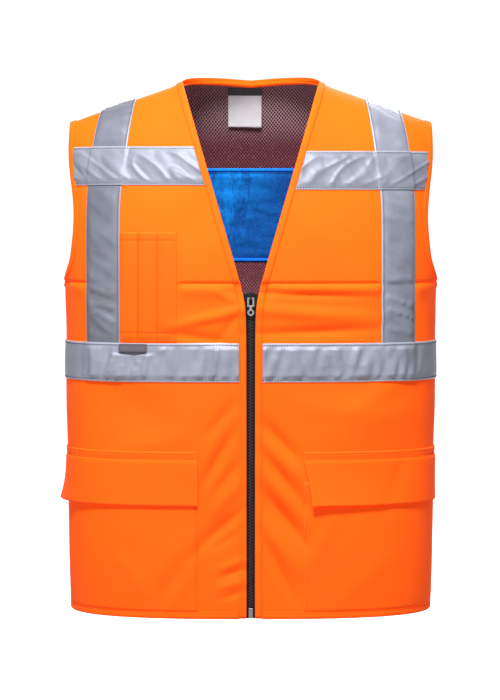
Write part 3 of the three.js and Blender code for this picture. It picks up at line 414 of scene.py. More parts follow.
def shifted(w, c, direction, distance, step=0.002):
    """Places moved over the form by a distance in a direction: least squares of the two slopes, in short steps."""
    count = max(1, math.ceil(abs(distance) / step))
    for _ in range(count):
        across, up = slopes_of(folded_form, w, c)
        aa, au, uu = [
            (p * q).sum(-1) for p, q in ((across, across), (across, up), (up, up))
        ]
        ad, ud = (across * direction).sum(-1), (up * direction).sum(-1)
        scale = distance / count / (aa * uu - au * au)
        w, c = w + (ad * uu - ud * au) * scale, c + (ud * aa - ad * au) * scale
    return w, c


def along_girth(w, c, girth):
    """The w a given girth further from the middle of the front, at the same level."""
    count = max(2, math.ceil(abs(girth) / 0.008))
    side = np.where(np.asarray(w) < 0, -1, 1)
    for _ in range(count):
        rate = np.linalg.norm(
            slopes_of(lambda a, b: plain_form(a, b)[0], w, c)[0], axis=-1
        )
        w = w + side * girth / count / rate
    return w


# ---- edges: the w at a level, on the wearer's left


def mirrored(c):
    return np.where(c > RIDGE, 2 * RIDGE - c, c)


def neck_edge(c):
    """Edge of the front: from the zip's opening at the foot of the V to the neck at the shoulder, with a round foot."""
    x = np.full(np.shape(c), NECK_HALF_WIDTH / 2)
    whole = ridge_height(NECK_HALF_WIDTH) + ZIP_TOP_DROP
    for _ in range(12):
        share = (height_at(c, x) + ZIP_TOP_DROP) / whole
        bent = (share + np.hypot(share, NECK_BEND)) / 2
        x = ZIP_OPENING + (NECK_HALF_WIDTH - ZIP_OPENING) * bent
    return across_at(x, c)


def side_edge(c):
    """The side seam, and above the crease the armhole, whose foot is a quarter ellipse."""
    c = mirrored(c)
    share = clamp01((c - CREASE) / (ARCH_FOOT - CREASE))
    x = (
        SHOULDER_TIP
        - ARMHOLE_WAIST * np.sin(math.pi * share) ** 2
        - (1 - share) * ARMHOLE_INSET
    )
    foot = clamp01((c - CREASE) / ARMHOLE_FOOT)
    edge = 1 - (1 - across_at(x, c)) * np.sqrt(1 - (1 - foot) ** 2)
    return np.where(c <= CREASE, 1, edge)


def brace_edge(c):
    """Inner edge of the braces: straight up to BRACE_BEND, and closer to the neck at the shoulder."""
    c = mirrored(c)
    lean = ease((c - BRACE_BEND) / (RIDGE - BRACE_BEND))
    return across_at(BRACE_SPREAD - BRACE_LEAN * lean, c)


def brace_out(c):
    return along_girth(brace_edge(c), c, TAPE_WIDTH)


def trim_in(c):
    return along_girth(neck_edge(c), c, BINDING_WIDTH + SEAM)


def trim_out(c):
    return along_girth(side_edge(c), c, -BINDING_WIDTH - SEAM)


def pocket_edge(c):
    """Inner edge of the pen pocket, and below the waist tape of the lower pockets."""
    low = clamp01((WAIST_BOTTOM - c) / (WAIST_BOTTOM - POCKET_TOP))
    pen = along_girth(brace_edge(c), c, -PEN_SLOT_WIDTH * PEN_SLOTS)
    return mix(pen, across_at(POCKET_SPREAD, c), low)


def back_top(w):
    """Level of the top of the back: the shoulder seam, and between the shoulders the hollow neck edge."""
    x = np.abs(plain_form(w, RIDGE)[0][..., 0])
    share = clamp01(x / NECK_HALF_WIDTH)
    depth = (ridge_height(0) - BACK_NECK_HEIGHT) * (1 - share**NECK_HOLLOW)
    return np.where(share == 1, RIDGE, level_at(ridge_height(x) - depth, x))


# ---- grids of places


def rows_between(low, high, step, *marks):
    """Even levels about a step apart, with the marks between low and high among them."""
    stops = [low, *sorted(m for m in marks if low < m < high), high]
    parts = [
        np.linspace(a, b, max(2, round((b - a) / step) + 1))
        for a, b in zip(stops, stops[1:])
    ]
    return np.concatenate([parts[0], *[p[1:] for p in parts[1:]]])


def armhole_rows(low, high, step, *marks):
    """rows_between, with rows that gather towards the foot of the armhole as a square does."""
    gather = CREASE + ARMHOLE_FOOT * np.linspace(0, 1, 18) ** 2
    rows = np.concatenate([rows_between(low, high, step, CREASE, PEN_TOP, *marks), gather])
    rows = np.unique(np.round(rows[(rows >= low) & (rows <= high)], 6))
    return rows[np.concatenate([[True], np.diff(rows) > 1e-4])]


def spans(c, edges, counts):
    """Columns between edges, even within each span; an edge is a function of the level."""
    lines = [np.broadcast_to(np.asarray(edge(c), float), np.shape(c)) for edge in edges]
    parts = [
        mix(a[:, None], b[:, None], np.linspace(0, 1, n + 1)[None, :])
        for a, b, n in zip(lines, lines[1:], counts)
    ]
    return np.concatenate([parts[0], *[p[:, 1:] for p in parts[1:]]], 1)


def flipped(edge, sign=-1):
    return lambda c: sign * edge(c)


def behind(w, c):
    """A place of the back, given by its own w and level, as a place that runs on round the side."""
    return np.where(w < 0, -2 - w, 2 - w), c


def lengths(points, axis):
    """Running length of a grid of points along an axis."""
    step = np.linalg.norm(np.diff(points, axis=axis), axis=-1)
    pad = [(0, 0), (0, 0)]
    pad[axis] = (1, 0)
    return np.cumsum(np.pad(step, pad), axis=axis)


# ---- meshes


def make_mesh(name, points, faces, material, uv=None, marks=()):
    """A mesh object from an array of points and arrays of faces, turned so that its faces point out: the sum of a . (b x c) over the triangles of a closed mesh is positive then."""
    points = np.asarray(points, float).reshape(-1, 3)
    faces = [np.asarray(f, int) for f in faces if len(f)]
    volume = 0.0
    for f in faces:
        for k in range(1, f.shape[1] - 1):
            a, b, d = points[f[:, 0]], points[f[:, k]], points[f[:, k + 1]]
            volume += (a * np.cross(b, d)).sum()
    if volume < 0:
        faces = [f[:, ::-1] for f in faces]
    corners = np.concatenate([f.ravel() for f in faces])
    sizes = np.concatenate([np.full(len(f), f.shape[1]) for f in faces])
    mesh = bpy.data.meshes.new(name)
    mesh.vertices.add(len(points))
    mesh.vertices.foreach_set("co", points.astype(np.float32).ravel())
    mesh.loops.add(len(corners))
    mesh.loops.foreach_set("vertex_index", corners.astype(np.int32))
    mesh.polygons.add(len(sizes))
    starts = np.concatenate([[0], np.cumsum(sizes)[:-1]])
    mesh.polygons.foreach_set("loop_start", starts.astype(np.int32))
    mesh.update(calc_edges=True)
    if uv is not None:
        layer = mesh.uv_layers.new(name="cloth")
        layer.data.foreach_set(
            "uv", np.asarray(uv, np.float32).reshape(-1, 2)[corners].ravel()
        )
    for name_of, values in dict(marks).items():
        mark = mesh.attributes.new(name_of, "FLOAT", "POINT")
        mark.data.foreach_set("value", np.asarray(values, np.float32).ravel())
    mesh.shade_smooth()
    mesh.materials.append(material)
    piece = bpy.data.objects.new(name, mesh)
    bpy.context.scene.collection.objects.link(piece)
    return piece


def rim_of(rows, columns):
    """Indexes round the rim of a grid, in order."""
    index = np.arange(rows * columns).reshape(rows, columns)
    return np.concatenate(
        [index[0, :], index[1:, -1], index[-1, -2::-1], index[-2:0:-1, 0]]
    )


def flat_cut(point):
    """Longest row, longest column and area of a grid of points."""
    across, up = np.diff(point, axis=1)[:-1], np.diff(point, axis=0)[:, :-1]
    area = np.linalg.norm(np.cross(across, up), axis=-1).sum()
    return [lengths(point, 1).max(), lengths(point, 0).max(), area]


def wall(name, w, c, inner, outer, material, uv_turn=False, ends=True):
    """A closed wall of cloth over a grid of places: form + inner x normal and form + outer x normal, joined by a half-round rim. It keeps its flat cut, measured on the form without folds. Where ends is False, the edge mark leaves out the ends of a tape."""
    point, normal = surface(w, c)
    rows, columns = point.shape[:2]
    under, over = [
        point + normal * np.broadcast_to(d, (rows, columns))[..., None]
        for d in (inner, outer)
    ]
    out = np.zeros_like(point)
    for side, (edge, inside) in {
        0: (0, 1),
        1: (-1, -2),
    }.items():
        out[edge, :] += unit(point[edge, :] - point[inside, :])
        out[:, edge] += unit(point[:, edge] - point[:, inside])
    rim = rim_of(rows, columns)
    thick = np.linalg.norm(over - under, axis=-1)[..., None]
    middle = ((under + over) / 2 + unit(out) * thick * 0.45).reshape(-1, 3)[rim]
    count = rows * columns
    index = np.arange(count).reshape(rows, columns)
    grid = np.stack([index[:-1, :-1], index[:-1, 1:], index[1:, 1:], index[1:, :-1]], -1)
    grid = grid.reshape(-1, 4)
    after = np.roll(rim, -1)
    ring = 2 * count + np.arange(len(rim))
    ring_after = np.roll(ring, -1)
    # the middle column is the origin of u, and the first row that of v
    u = lengths(point, 1)
    u = u - u[:, columns // 2][:, None]
    v = lengths(point, 0).mean(1)[:, None] + np.zeros_like(u)
    uv = np.stack([v, u] if uv_turn else [u, v], -1).reshape(-1, 2)
    span_u, span_v = lengths(point, 1), lengths(point, 0)
    near_u = np.minimum(span_u, span_u[:, -1:] - span_u)
    near_v = np.minimum(span_v, span_v[-1:] - span_v)
    if ends:
        near = np.minimum(near_u, near_v)
    else:
        near = near_u if uv_turn else near_v
    edge = np.exp(-near.ravel() / 0.004)
    piece = make_mesh(
        name,
        np.concatenate([under.reshape(-1, 3), over.reshape(-1, 3), middle]),
        [
            np.concatenate(
                [
                    grid[:, ::-1],
                    grid + count,
                    np.stack([rim, after, ring_after, ring], -1),
                    np.stack([ring, ring_after, after + count, rim + count], -1),
                ]
            )
        ],
        material,
        np.concatenate([uv, uv, uv[rim]]),
        {
            "edge": np.concatenate([edge, edge, edge[rim]]),
            "outside": np.concatenate([0 * edge, 0 * edge + 1, 0 * edge[rim] + 0.5]),
        },
    )
    piece["flat_cut"] = [float(size) for size in flat_cut(plain_form(w, c)[0])]
    return piece


def carried(name, w, c, profile, direction, material, closed=False):
    """A profile carried along a path of places: each point (into, out) of it lies at the place shifted into the cloth by `into`, plus out x normal."""
    ring = []
    for into, out in profile:
        a, b = shifted(w, c, direction, into) if into else (w, c)
        point, normal = surface(a, b)
        ring.append(point + normal * out)
    points = np.stack(ring, 1)
    count, corners = points.shape[:2]
    index = np.arange(count * corners).reshape(count, corners)
    following = np.roll(index, -1, 0) if closed else index[1:]
    here = index if closed else index[:-1]
    quads = np.stack(
        [here, np.roll(here, -1, 1), np.roll(following, -1, 1), following], -1
    ).reshape(-1, 4)
    faces = [quads]
    if not closed:
        faces.append(np.stack([index[0, ::-1], index[-1]]))
    round_it = np.cumsum(
        [0, *np.linalg.norm(np.diff(np.array(profile), axis=0), axis=1)]
    )
    along = lengths(points, 0).mean(1)[:, None] + np.zeros((1, corners))
    uv = np.stack([along, round_it[None, :] + np.zeros((count, 1))], -1)
    return make_mesh(name, points, faces, material, uv.reshape(-1, 2))


def square_to(w, c, hand, closed=False):
    """Directions into the cloth, square to a path: along x normal."""
    point, normal = surface(w, c)
    if closed:
        along = np.roll(point, -1, 0) - np.roll(point, 1, 0)
    else:
        along = np.gradient(point, axis=0)
    return hand * unit(np.cross(along, normal))


def binding_profile(lined, turn=BINDING_WIDTH, gap=BINDING_GAP, stitch=0.0016):
    """A strip folded over an edge: an outer leg that dips along its stitching, a half-round fold and an inner leg."""
    top, bottom = CLOTH + BINDING_GAP, -lined - gap
    middle, half = (top + bottom) / 2, (top - bottom) / 2 + TRIM
    fold = [
        (
            0.0002 - (GAP + TRIM + 0.0002) * math.sin(a),
            middle + half * math.cos(a),
        )
        for a in np.linspace(0, math.pi, 8)
    ]
    leg = [
        (BINDING_WIDTH, top + 0.35 * TRIM),
        (BINDING_WIDTH - 0.4 * stitch, top + 0.95 * TRIM),
        (BINDING_WIDTH - stitch, top + 0.62 * TRIM),
        (BINDING_WIDTH - 1.7 * stitch, top + TRIM),
    ]
    return [
        *leg,
        *fold,
        (turn, bottom - TRIM),
        (turn, bottom),
        (-GAP, bottom),
        (-GAP, top),
        (BINDING_WIDTH, top),
    ]


# A stitch seen from above is a spindle of four corners round, with two rings and two tips
STITCH_ALONG = np.array([-0.5, *[-0.3] * 4, *[0.3] * 4, 0.5])
STITCH_SIDE = np.array([0, 1, 0, -1, 0, 1, 0, -1, 0, 0])
STITCH_UP = np.array([-0.6, 0, 1, 0, -1, 0, 1, 0, -1, -0.6])
STITCH_TIPS = np.array(
    [(0, 2, 1), (0, 3, 2), (0, 4, 3), (0, 1, 4), (9, 5, 6), (9, 6, 7), (9, 7, 8), (9, 8, 5)]
)
STITCH_SIDES = np.array([(1, 2, 6, 5), (2, 3, 7, 6), (3, 4, 8, 7), (4, 1, 5, 8)])


def stitch_run(w, c, distance, pitch, slant=0.0, weight=1.0, share=0.8):
    """Stitches along a path of places: a spindle of share x pitch for each pitch of its length, turned by the slant from it. The weight times the thread is its thickness."""
    point, normal = surface(w, c)
    point = point + normal * np.broadcast_to(distance, point.shape[:1])[:, None]
    run = np.concatenate([[0], np.cumsum(np.linalg.norm(np.diff(point, axis=0), axis=1))])
    at = np.arange(pitch / 2, run[-1], pitch)
    middle, up, ahead = [
        np.stack([np.interp(at + shift, run, v[:, k]) for k in range(3)], -1)
        for v, shift in ((point, 0), (normal, 0), (point, pitch / 4))
    ]
    along = unit(ahead - middle)
    up = unit(up)
    side = np.cross(up, along)
    along, side = (
        along * math.cos(slant) + side * math.sin(slant),
        side * math.cos(slant) - along * math.sin(slant),
    )
    thick = bpy.context.scene.vest_stitching.thread / 2 * weight
    return (
        middle[:, None]
        + STITCH_ALONG[None, :, None] * along[:, None] * pitch * share
        + STITCH_SIDE[None, :, None] * side[:, None] * thick
        + STITCH_UP[None, :, None] * up[:, None] * thick
    )


def stitches(name, runs, material):
    """All the stitches of some runs as one piece."""
    points = np.concatenate(runs)
    count = len(points)
    first = (np.arange(count) * len(STITCH_ALONG))[:, None, None]
    tips = (first + STITCH_TIPS[None]).reshape(-1, 3)
    sides = (first + STITCH_SIDES[None]).reshape(-1, 4)
    return make_mesh(name, points, [tips, sides], material)


def finished(piece, slot, *nodes, body="vest"):
    """Sets a piece on its body and hides the CAD nodes that it stands for. The slot is not used."""
    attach(piece, body)
    if nodes:
        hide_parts(*nodes)
    return piece


# ---- materials


class Shade:
    """A value that changes over a surface, with arithmetic that adds Math nodes."""

    def __init__(self, paint, socket):
        self.paint = paint
        self.socket = socket

    def maths(self, operation, *values):
        return self.paint.node("ShaderNodeMath", {"operation": operation}, values)

    def __add__(self, other):
        return self.maths("ADD", self, other)

    __radd__ = __add__

    def __sub__(self, other):
        return self.maths("SUBTRACT", self, other)

    def __rsub__(self, other):
        return self.maths("SUBTRACT", other, self)

    def __mul__(self, other):
        return self.maths("MULTIPLY", self, other)

    __rmul__ = __mul__

    def __truediv__(self, other):
        return self.maths("DIVIDE", self, other)

    def sine(self):
        return self.maths("SINE", self)

    def size(self):
        return self.maths("ABSOLUTE", self)

    def over(self, level, soft):
        """0 below the level and 1 above it, blended over `soft` on each side."""
        return self.paint.node(
            "ShaderNodeMapRange",
            {"interpolation_type": "SMOOTHSTEP"},
            {"Value": self, "From Min": level - soft, "From Max": level + soft},
        )

    def larger(self, other):
        return self.maths("MAXIMUM", self, other)


class Paint:
    """A material's nodes."""

    def __init__(self, name):
        self.material = bpy.data.materials.new(f"{name}_finish")
        self.material.use_nodes = True
        self.tree = self.material.node_tree
        self.tree.nodes.clear()

    def node(self, kind, settings=(), sockets=(), output=0):
        """Adds a node: its settings, then the values or links of its sockets by name or order."""
        made = self.tree.nodes.new(kind)
        for name, value in dict(settings).items():
            if name == "stops":
                ramp = made.color_ramp.elements
                while len(ramp) < len(value):
                    ramp.new(0.5)
                for stop, (at, colour) in zip(ramp, value):
                    stop.position, stop.color = at, (*colour, 1)
            else:
                setattr(made, name, value)
        pairs = sockets.items() if hasattr(sockets, "items") else enumerate(sockets)
        for key, value in pairs:
            socket = made.inputs[key]
            if isinstance(value, Shade):
                self.tree.links.new(value.socket, socket)
            elif hasattr(value, "__len__") and len(value) == 3 and socket.type == "RGBA":
                socket.default_value = (*value, 1)
            else:
                socket.default_value = value
        return Shade(self, made.outputs[output]) if made.outputs else made

    def cloth_map(self):
        return self.node("ShaderNodeUVMap", {"uv_map": "cloth"})

    def place(self):
        return self.node("ShaderNodeTexCoord", output=3)

    def parts(self, vector):
        return [
            self.node("ShaderNodeSeparateXYZ", (), {"Vector": vector}, k)
            for k in range(3)
        ]

    def grain(self, vector, scale, detail=2.0, roughness=0.5):
        """Noise about 0.5, of a scale in cells for each metre."""
        return self.node(
            "ShaderNodeTexNoise",
            {"noise_dimensions": "3D"},
            {"Vector": vector, "Scale": scale, "Detail": detail, "Roughness": roughness},
        )

    def blend(self, share, a, b):
        """Colour a where the share is 0 and b where it is 1."""
        return self.node(
            "ShaderNodeMix", {"data_type": "RGBA"}, {0: share, 6: a, 7: b}, 2
        )

    def bump(self, height, distance, strength=1.0):
        return self.node(
            "ShaderNodeBump",
            (),
            {"Height": height, "Distance": distance, "Strength": strength},
        )

    def mark(self, name):
        return self.node("ShaderNodeAttribute", {"attribute_name": name}, output=2)

    def finish(self, **sockets):
        """The surface, from the names of the shader's sockets with _ for a space."""
        shader = self.node(
            "ShaderNodeBsdfPrincipled",
            (),
            {key.replace("_", " "): value for key, value in sockets.items()},
        )
        self.node("ShaderNodeOutputMaterial", (), {"Surface": shader})
        return self.material


def tint(colour, share):
    """A colour times a share, each part held to 1."""
    return tuple(min(1.0, part * share) for part in colour)


def plain(colour):
    return tuple(colour)[:3]


def weave(paint, pitch, twill=0.0):
    """Height of a weave on the cloth map: the larger of |sin| of the two threads, with the weft shifted by twill x the warp."""
    u, v, _ = paint.parts(paint.cloth_map())
    turn = math.pi / pitch
    warp = ((u + v * twill) * turn).sine().size()
    weft = ((v - u * twill) * turn).sine().size()
    return warp.larger(weft)


def orange_finish(name, pitch, brightness=1.0, bound=False):
    """Brushed polyester in fluorescent orange, with a fine weave, uneven dye and paler worn edges. Its outer face has a
    painted glow: an emission that brightens it as light would.
    """
    cloth = bpy.context.scene.vest_cloth
    paint = Paint(name)
    colour = tint(plain(cloth.orange), brightness)
    uneven = paint.grain(paint.place(), 9.0, 3.0)
    nap = paint.grain(paint.place(), 900.0, 2.0)
    base = paint.blend(uneven.over(0.5, 0.28), tint(colour, 0.94), tint(colour, 1.05))
    base = paint.blend(
        paint.mark("edge").over(0.75, 0.25) * 0.35, base, plain(cloth.worn_orange)
    )
    height = weave(paint, pitch, 0.5) * 0.6 + nap * 0.5
    # painted glow: a constant orange emission that lights up the outer face, and all of a binding, though the cloth is
    # no lamp
    glow = (1.0, 0.05, 0.0)
    if not bound:
        glow = paint.blend(paint.mark("outside"), (0, 0, 0), glow)
    return paint.finish(
        Base_Color=base,
        Roughness=uneven * 0.16 + 0.70,
        Normal=paint.bump(height, 0.00012, 0.5),
        Sheen_Weight=0.05,
        Sheen_Roughness=0.45,
        Sheen_Tint=(1.0, 0.6, 0.3, 1),
        Specular_IOR_Level=0.12,
        Emission_Color=glow,
        Emission_Strength=0.5,
    )


def tape_finish(name, share=1.0):
    """Reflective tape: fine glass beads in a silver coat over woven backing, greyer where it is rubbed. A share below 1
    gives a darker copy of the tape, as painted shade.
    """
    tape = bpy.context.scene.vest_tape
    paint = Paint(name)
    u, v, _ = paint.parts(paint.cloth_map())
    beads = paint.node(
        "ShaderNodeTexVoronoi",
        {"feature": "F1"},
        {"Vector": paint.place(), "Scale": 2200.0},
    )
    rubbed = paint.grain(paint.place(), 34.0, 4.0, 0.6)
    smudged = paint.grain(paint.place(), 11.0, 2.0)
    backing = ((u * (math.pi / 0.0011)).sine().size()).larger(
        (v * (math.pi / 0.0011)).sine().size()
    )
    # painted shade: a share below 1 darkens this whole copy of the tape
    silver = tint(plain(tape.silver), share)
    base = paint.blend(rubbed.over(0.5, 0.22), tint(silver, 0.86), tint(silver, 1.08))
    base = paint.blend(smudged.over(0.56, 0.12) * 0.35, base, tint(silver, 0.72))
    rim = tint(plain(tape.edge_silver), share)
    base = paint.blend(paint.mark("edge").over(0.62, 0.1) * 0.8, base, rim)
    height = beads * -0.6 + backing * 0.3 + rubbed * 0.8
    return paint.finish(
        Base_Color=base,
        Metallic=0.14,
        Roughness=rubbed * 0.18 + 0.40,
        Normal=paint.bump(height, 0.00016, 0.45),
        Specular_IOR_Level=0.3,
    )


def mesh_finish():
    """Warp-knitted mesh: holes in staggered rows between paler diagonal threads. The holes' dark, reddish colours are
    painted shade, as of the shaded cloth behind them; the threads are painted paler near the neck as if lit more, and
    carry painted glints.
    """
    lining = bpy.context.scene.vest_lining
    paint = Paint("mesh_lining")
    u, v, _ = paint.parts(paint.cloth_map())
    turn = math.pi / lining.mesh_pitch
    rising = ((u + v * 0.8) * turn).sine().size()
    falling = ((u - v * 0.8) * turn).sine().size()
    threads = 1 - rising * falling
    patch = paint.grain(paint.place(), 22.0, 3.0)
    # painted shade: the holes are near black and dark red, as of the shaded cloth behind the mesh
    dark = paint.blend(patch.over(0.5, 0.15), plain(lining.hole), plain(lining.hole_red))
    light = paint.blend(
        patch.over(0.55, 0.2), plain(lining.thread), tint(plain(lining.thread), 0.6)
    )
    # painted light: the threads turn paler above about z = -0.03, near the neck, as if lit more there
    height = paint.parts(paint.place())[2]
    light = paint.blend(height.over(-0.03, 0.03) * 0.8, light, plain(lining.painted_light_thread))
    base = paint.blend(threads.over(0.7, 0.12), dark, light)
    # painted glints: bright highlights on the threads, painted into the colour
    glints = paint.grain(paint.place(), 640.0, 2.0).over(0.62, 0.06) * threads.over(0.8, 0.1)
    base = paint.blend(glints * 0.8, base, plain(lining.glint))
    return paint.finish(
        Base_Color=base,
        Roughness=threads * -0.2 + 0.85,
        Normal=paint.bump(threads, 0.0006, 0.8),
        Sheen_Weight=0.05,
    )


def pile_finish(name, dark_share=1.0):
    """Deep blue pile that is brushed both ways: painted bright where it leans to the light and navy where it leans
    away, with painted shade that turns it navy towards +X and the bottom, and paler tips as painted highlights.
    """
    lining = bpy.context.scene.vest_lining
    paint = Paint(name)
    place = paint.place()
    slanted = paint.node(
        "ShaderNodeMapping",
        (),
        {"Vector": place, "Rotation": (0, 0.9, 0), "Scale": (1, 1, 0.35)},
    )
    brushed = paint.grain(slanted, 34.0, 6.0, 0.62)
    fine = paint.grain(slanted, 300.0, 5.0, 0.75)
    hairs = paint.grain(place, 1500.0, 3.0, 0.7)
    mixture = brushed * 0.6 + fine * 0.42
    base = paint.blend(
        mixture.over(0.5, 0.085), tint(plain(lining.navy), dark_share), plain(lining.blue)
    )
    x, _, z = paint.parts(place)
    # painted shade: the pad turns navy towards +X and towards the bottom
    shaded = (x * 8.0 - z * 4.0).over(0.5, 0.3)
    base = paint.blend(shaded * 0.85, base, tint(plain(lining.navy), dark_share))
    # painted highlights: pale flecks on the tips of the pile
    base = paint.blend(hairs.over(0.6, 0.1) * 0.45, base, plain(lining.light_blue))
    height = brushed * 3.0 + fine * 2.0 + hairs * 0.8
    return paint.finish(
        Base_Color=base,
        Roughness=fine * 0.2 + 0.72,
        Normal=paint.bump(height, 0.0009, 0.8),
        Sheen_Weight=0.15,
        Sheen_Roughness=0.4,
        Sheen_Tint=(0.1, 0.5, 1.0, 1),
        Specular_IOR_Level=0.15,
    )


def label_finish():
    """Satin-woven label: a bare white field under a bare black band."""
    paint = Paint("label_cloth")
    u, v, _ = paint.parts(paint.cloth_map())
    height = paint.parts(paint.place())[2]
    band = height.over(BACK_NECK_HEIGHT - LABEL_DROP - LABEL_BAND, 0.0003)
    ribs = (v * (math.pi / 0.0006)).sine().size()
    uneven = paint.grain(paint.place(), 120.0, 3.0)
    white = paint.blend(uneven, (0.85, 0.89, 0.96), (0.93, 0.96, 1.0))
    return paint.finish(
        Base_Color=paint.blend(band, white, (0.012, 0.012, 0.016)),
        Roughness=ribs * 0.2 + 0.45,
        Normal=paint.bump(ribs, 0.00012, 0.5),
        Sheen_Weight=0.15,
    )


def tab_finish():
    """Grosgrain tab: upright ribs, with a darker selvedge round it."""
    paint = Paint("tab_cloth")
    u, v, _ = paint.parts(paint.cloth_map())
    ribs = (u * (math.pi / 0.0007)).sine().size()
    cross = (v * (math.pi / 0.0012)).sine().size()
    grain = paint.grain(paint.place(), 400.0, 3.0)
    base = paint.blend(ribs * 0.6 + grain * 0.3, (0.085, 0.075, 0.09), (0.21, 0.19, 0.22))
    base = paint.blend(paint.mark("edge").over(0.6, 0.25), base, (0.10, 0.09, 0.105))
    return paint.finish(
        Base_Color=base,
        Roughness=grain * 0.2 + 0.6,
        Normal=paint.bump(ribs + cross * 0.4, 0.00025, 0.8),
        Sheen_Weight=0.2,
    )


def zip_tape_finish():
    """Black herringbone tape."""
    paint = Paint("zip_cloth")
    u, v, _ = paint.parts(paint.cloth_map())
    zigzag = ((u * (math.pi / 0.003)).sine().size() * 0.002 + v) * (math.pi / 0.0009)
    ribs = zigzag.sine().size()
    return paint.finish(
        Base_Color=paint.blend(ribs, (0.002, 0.002, 0.003), (0.008, 0.008, 0.010)),
        Roughness=ribs * 0.15 + 0.65,
        Normal=paint.bump(ribs, 0.0002, 0.7),
        Specular_IOR_Level=0.2,
    )


def hard_finish(name, colour, metallic, roughness, worn):
    """Metal or moulded plastic: fine casting grain, with dull patches and paler handled spots."""
    paint = Paint(name)
    patches = paint.grain(paint.place(), 420.0, 4.0, 0.6)
    grain = paint.grain(paint.place(), 4200.0, 2.0)
    return paint.finish(
        Base_Color=paint.blend(patches.over(0.6, 0.12) * 0.5, colour, worn),
        Metallic=metallic,
        Roughness=patches * 0.25 + (roughness - 0.12),
        Normal=paint.bump(grain + patches, 0.00003, 0.5),
    )


def thread_finish(name, colour, light):
    """Twisted sewing thread, dull."""
    paint = Paint(name)
    twist = paint.grain(paint.place(), 2600.0, 2.0)
    return paint.finish(
        Base_Color=paint.blend(twist, colour, light),
        Roughness=twist * 0.2 + 0.5,
        Normal=paint.bump(twist, 0.00005, 0.5),
        Specular_IOR_Level=0.15,
    )


def finish_of(name):
    """The material of a name, made the first time that a piece asks for it."""
    found = bpy.data.materials.get(f"{name}_finish")
    if found:
        return found
    makers = {
        "orange_cloth": lambda: orange_finish("orange_cloth", 0.0009),
        "orange_binding": lambda: orange_finish("orange_binding", 0.0007, 1.02, True),
        "pouch_cloth": lambda: orange_finish("pouch_cloth", 0.0009, 0.92),
        "reflective_tape": lambda: tape_finish("reflective_tape"),
        # the chest tapes and the braces are darker copies of the tape: painted shade, deepest on the right brace
        "chest_tape": lambda: tape_finish("chest_tape", 0.78),
        "brace_tape_right": lambda: tape_finish("brace_tape_right", 0.58),
        "brace_tape_left": lambda: tape_finish("brace_tape_left", 0.82),
        "mesh_lining": mesh_finish,
        "cooling_cloth": lambda: pile_finish("cooling_cloth"),
        "cooling_piping": lambda: pile_finish("cooling_piping", 3.2),
        "label_cloth": label_finish,
        "tab_cloth": tab_finish,
        "zip_cloth": zip_tape_finish,
        "zip_chain": lambda: hard_finish(
            "zip_chain", (0.003, 0.003, 0.004), 0.0, 0.6, (0.008, 0.008, 0.010)
        ),
        "zip_slider": lambda: hard_finish(
            "zip_slider", (0.03, 0.03, 0.034), 0.9, 0.36, (0.12, 0.12, 0.125)
        ),
        "zip_pull": lambda: hard_finish(
            "zip_pull", (0.46, 0.46, 0.48), 1.0, 0.30, (0.34, 0.34, 0.36)
        ),
        "zip_box": lambda: hard_finish(
            "zip_box", (0.17, 0.17, 0.19), 0.9, 0.40, (0.11, 0.11, 0.12)
        ),
        "silver_thread": lambda: thread_finish(
            "silver_thread", (0.030, 0.035, 0.075), (0.10, 0.11, 0.18)
        ),
        # orange thread, darker than the cloth: real thread, darkened as painted shade along the stitched seams
        "orange_thread": lambda: thread_finish(
            "orange_thread", (0.55, 0.055, 0.003), (0.9, 0.13, 0.01)
        ),
        # darker thread on the pen pocket: painted shade in its stitched grooves and under its lip
        "painted_shade_thread": lambda: thread_finish(
            "painted_shade_thread", (0.26, 0.028, 0.001), (0.5, 0.06, 0.002)
        ),
        "blue_thread": lambda: thread_finish(
            "blue_thread", (0.01, 0.03, 0.16), (0.03, 0.10, 0.34)
        ),
    }
    return makers[name]()


# ---- sizes and colours


def colour_property(name, description, default):
    return bpy.props.FloatVectorProperty(
        name=name,
        description=description,
        default=default,
        size=3,
        min=0,
        max=1,
        subtype="COLOR",
    )


def length_property(name, description, default):
    return bpy.props.FloatProperty(
        name=name,
        description=description,
        default=default,
        min=0,
        unit="LENGTH",
        precision=5,
    )


class VestCloth(bpy.types.PropertyGroup):
    orange: colour_property("Orange", "Colour of the body cloth", (1.0, 0.142, 0.004))
    worn_orange: colour_property(
        "Worn orange", "Colour along the edges of the cloth", (1.0, 0.2, 0.02)
    )
    crumple: length_property("Crumple", "Rise of the fine crumples in the cloth", 0.0004)
    step: length_property("Step", "Distance between the rows of the body cloth", 0.0034)


class VestTape(bpy.types.PropertyGroup):
    silver: colour_property("Silver", "Colour of the reflective tape", (0.33, 0.345, 0.425))
    edge_silver: colour_property(
        "Edge silver", "Colour along the edges of the tape", (0.50, 0.525, 0.62)
    )
    pucker: length_property("Pucker", "Rise of the puckers of the waist tape", 0.0044)


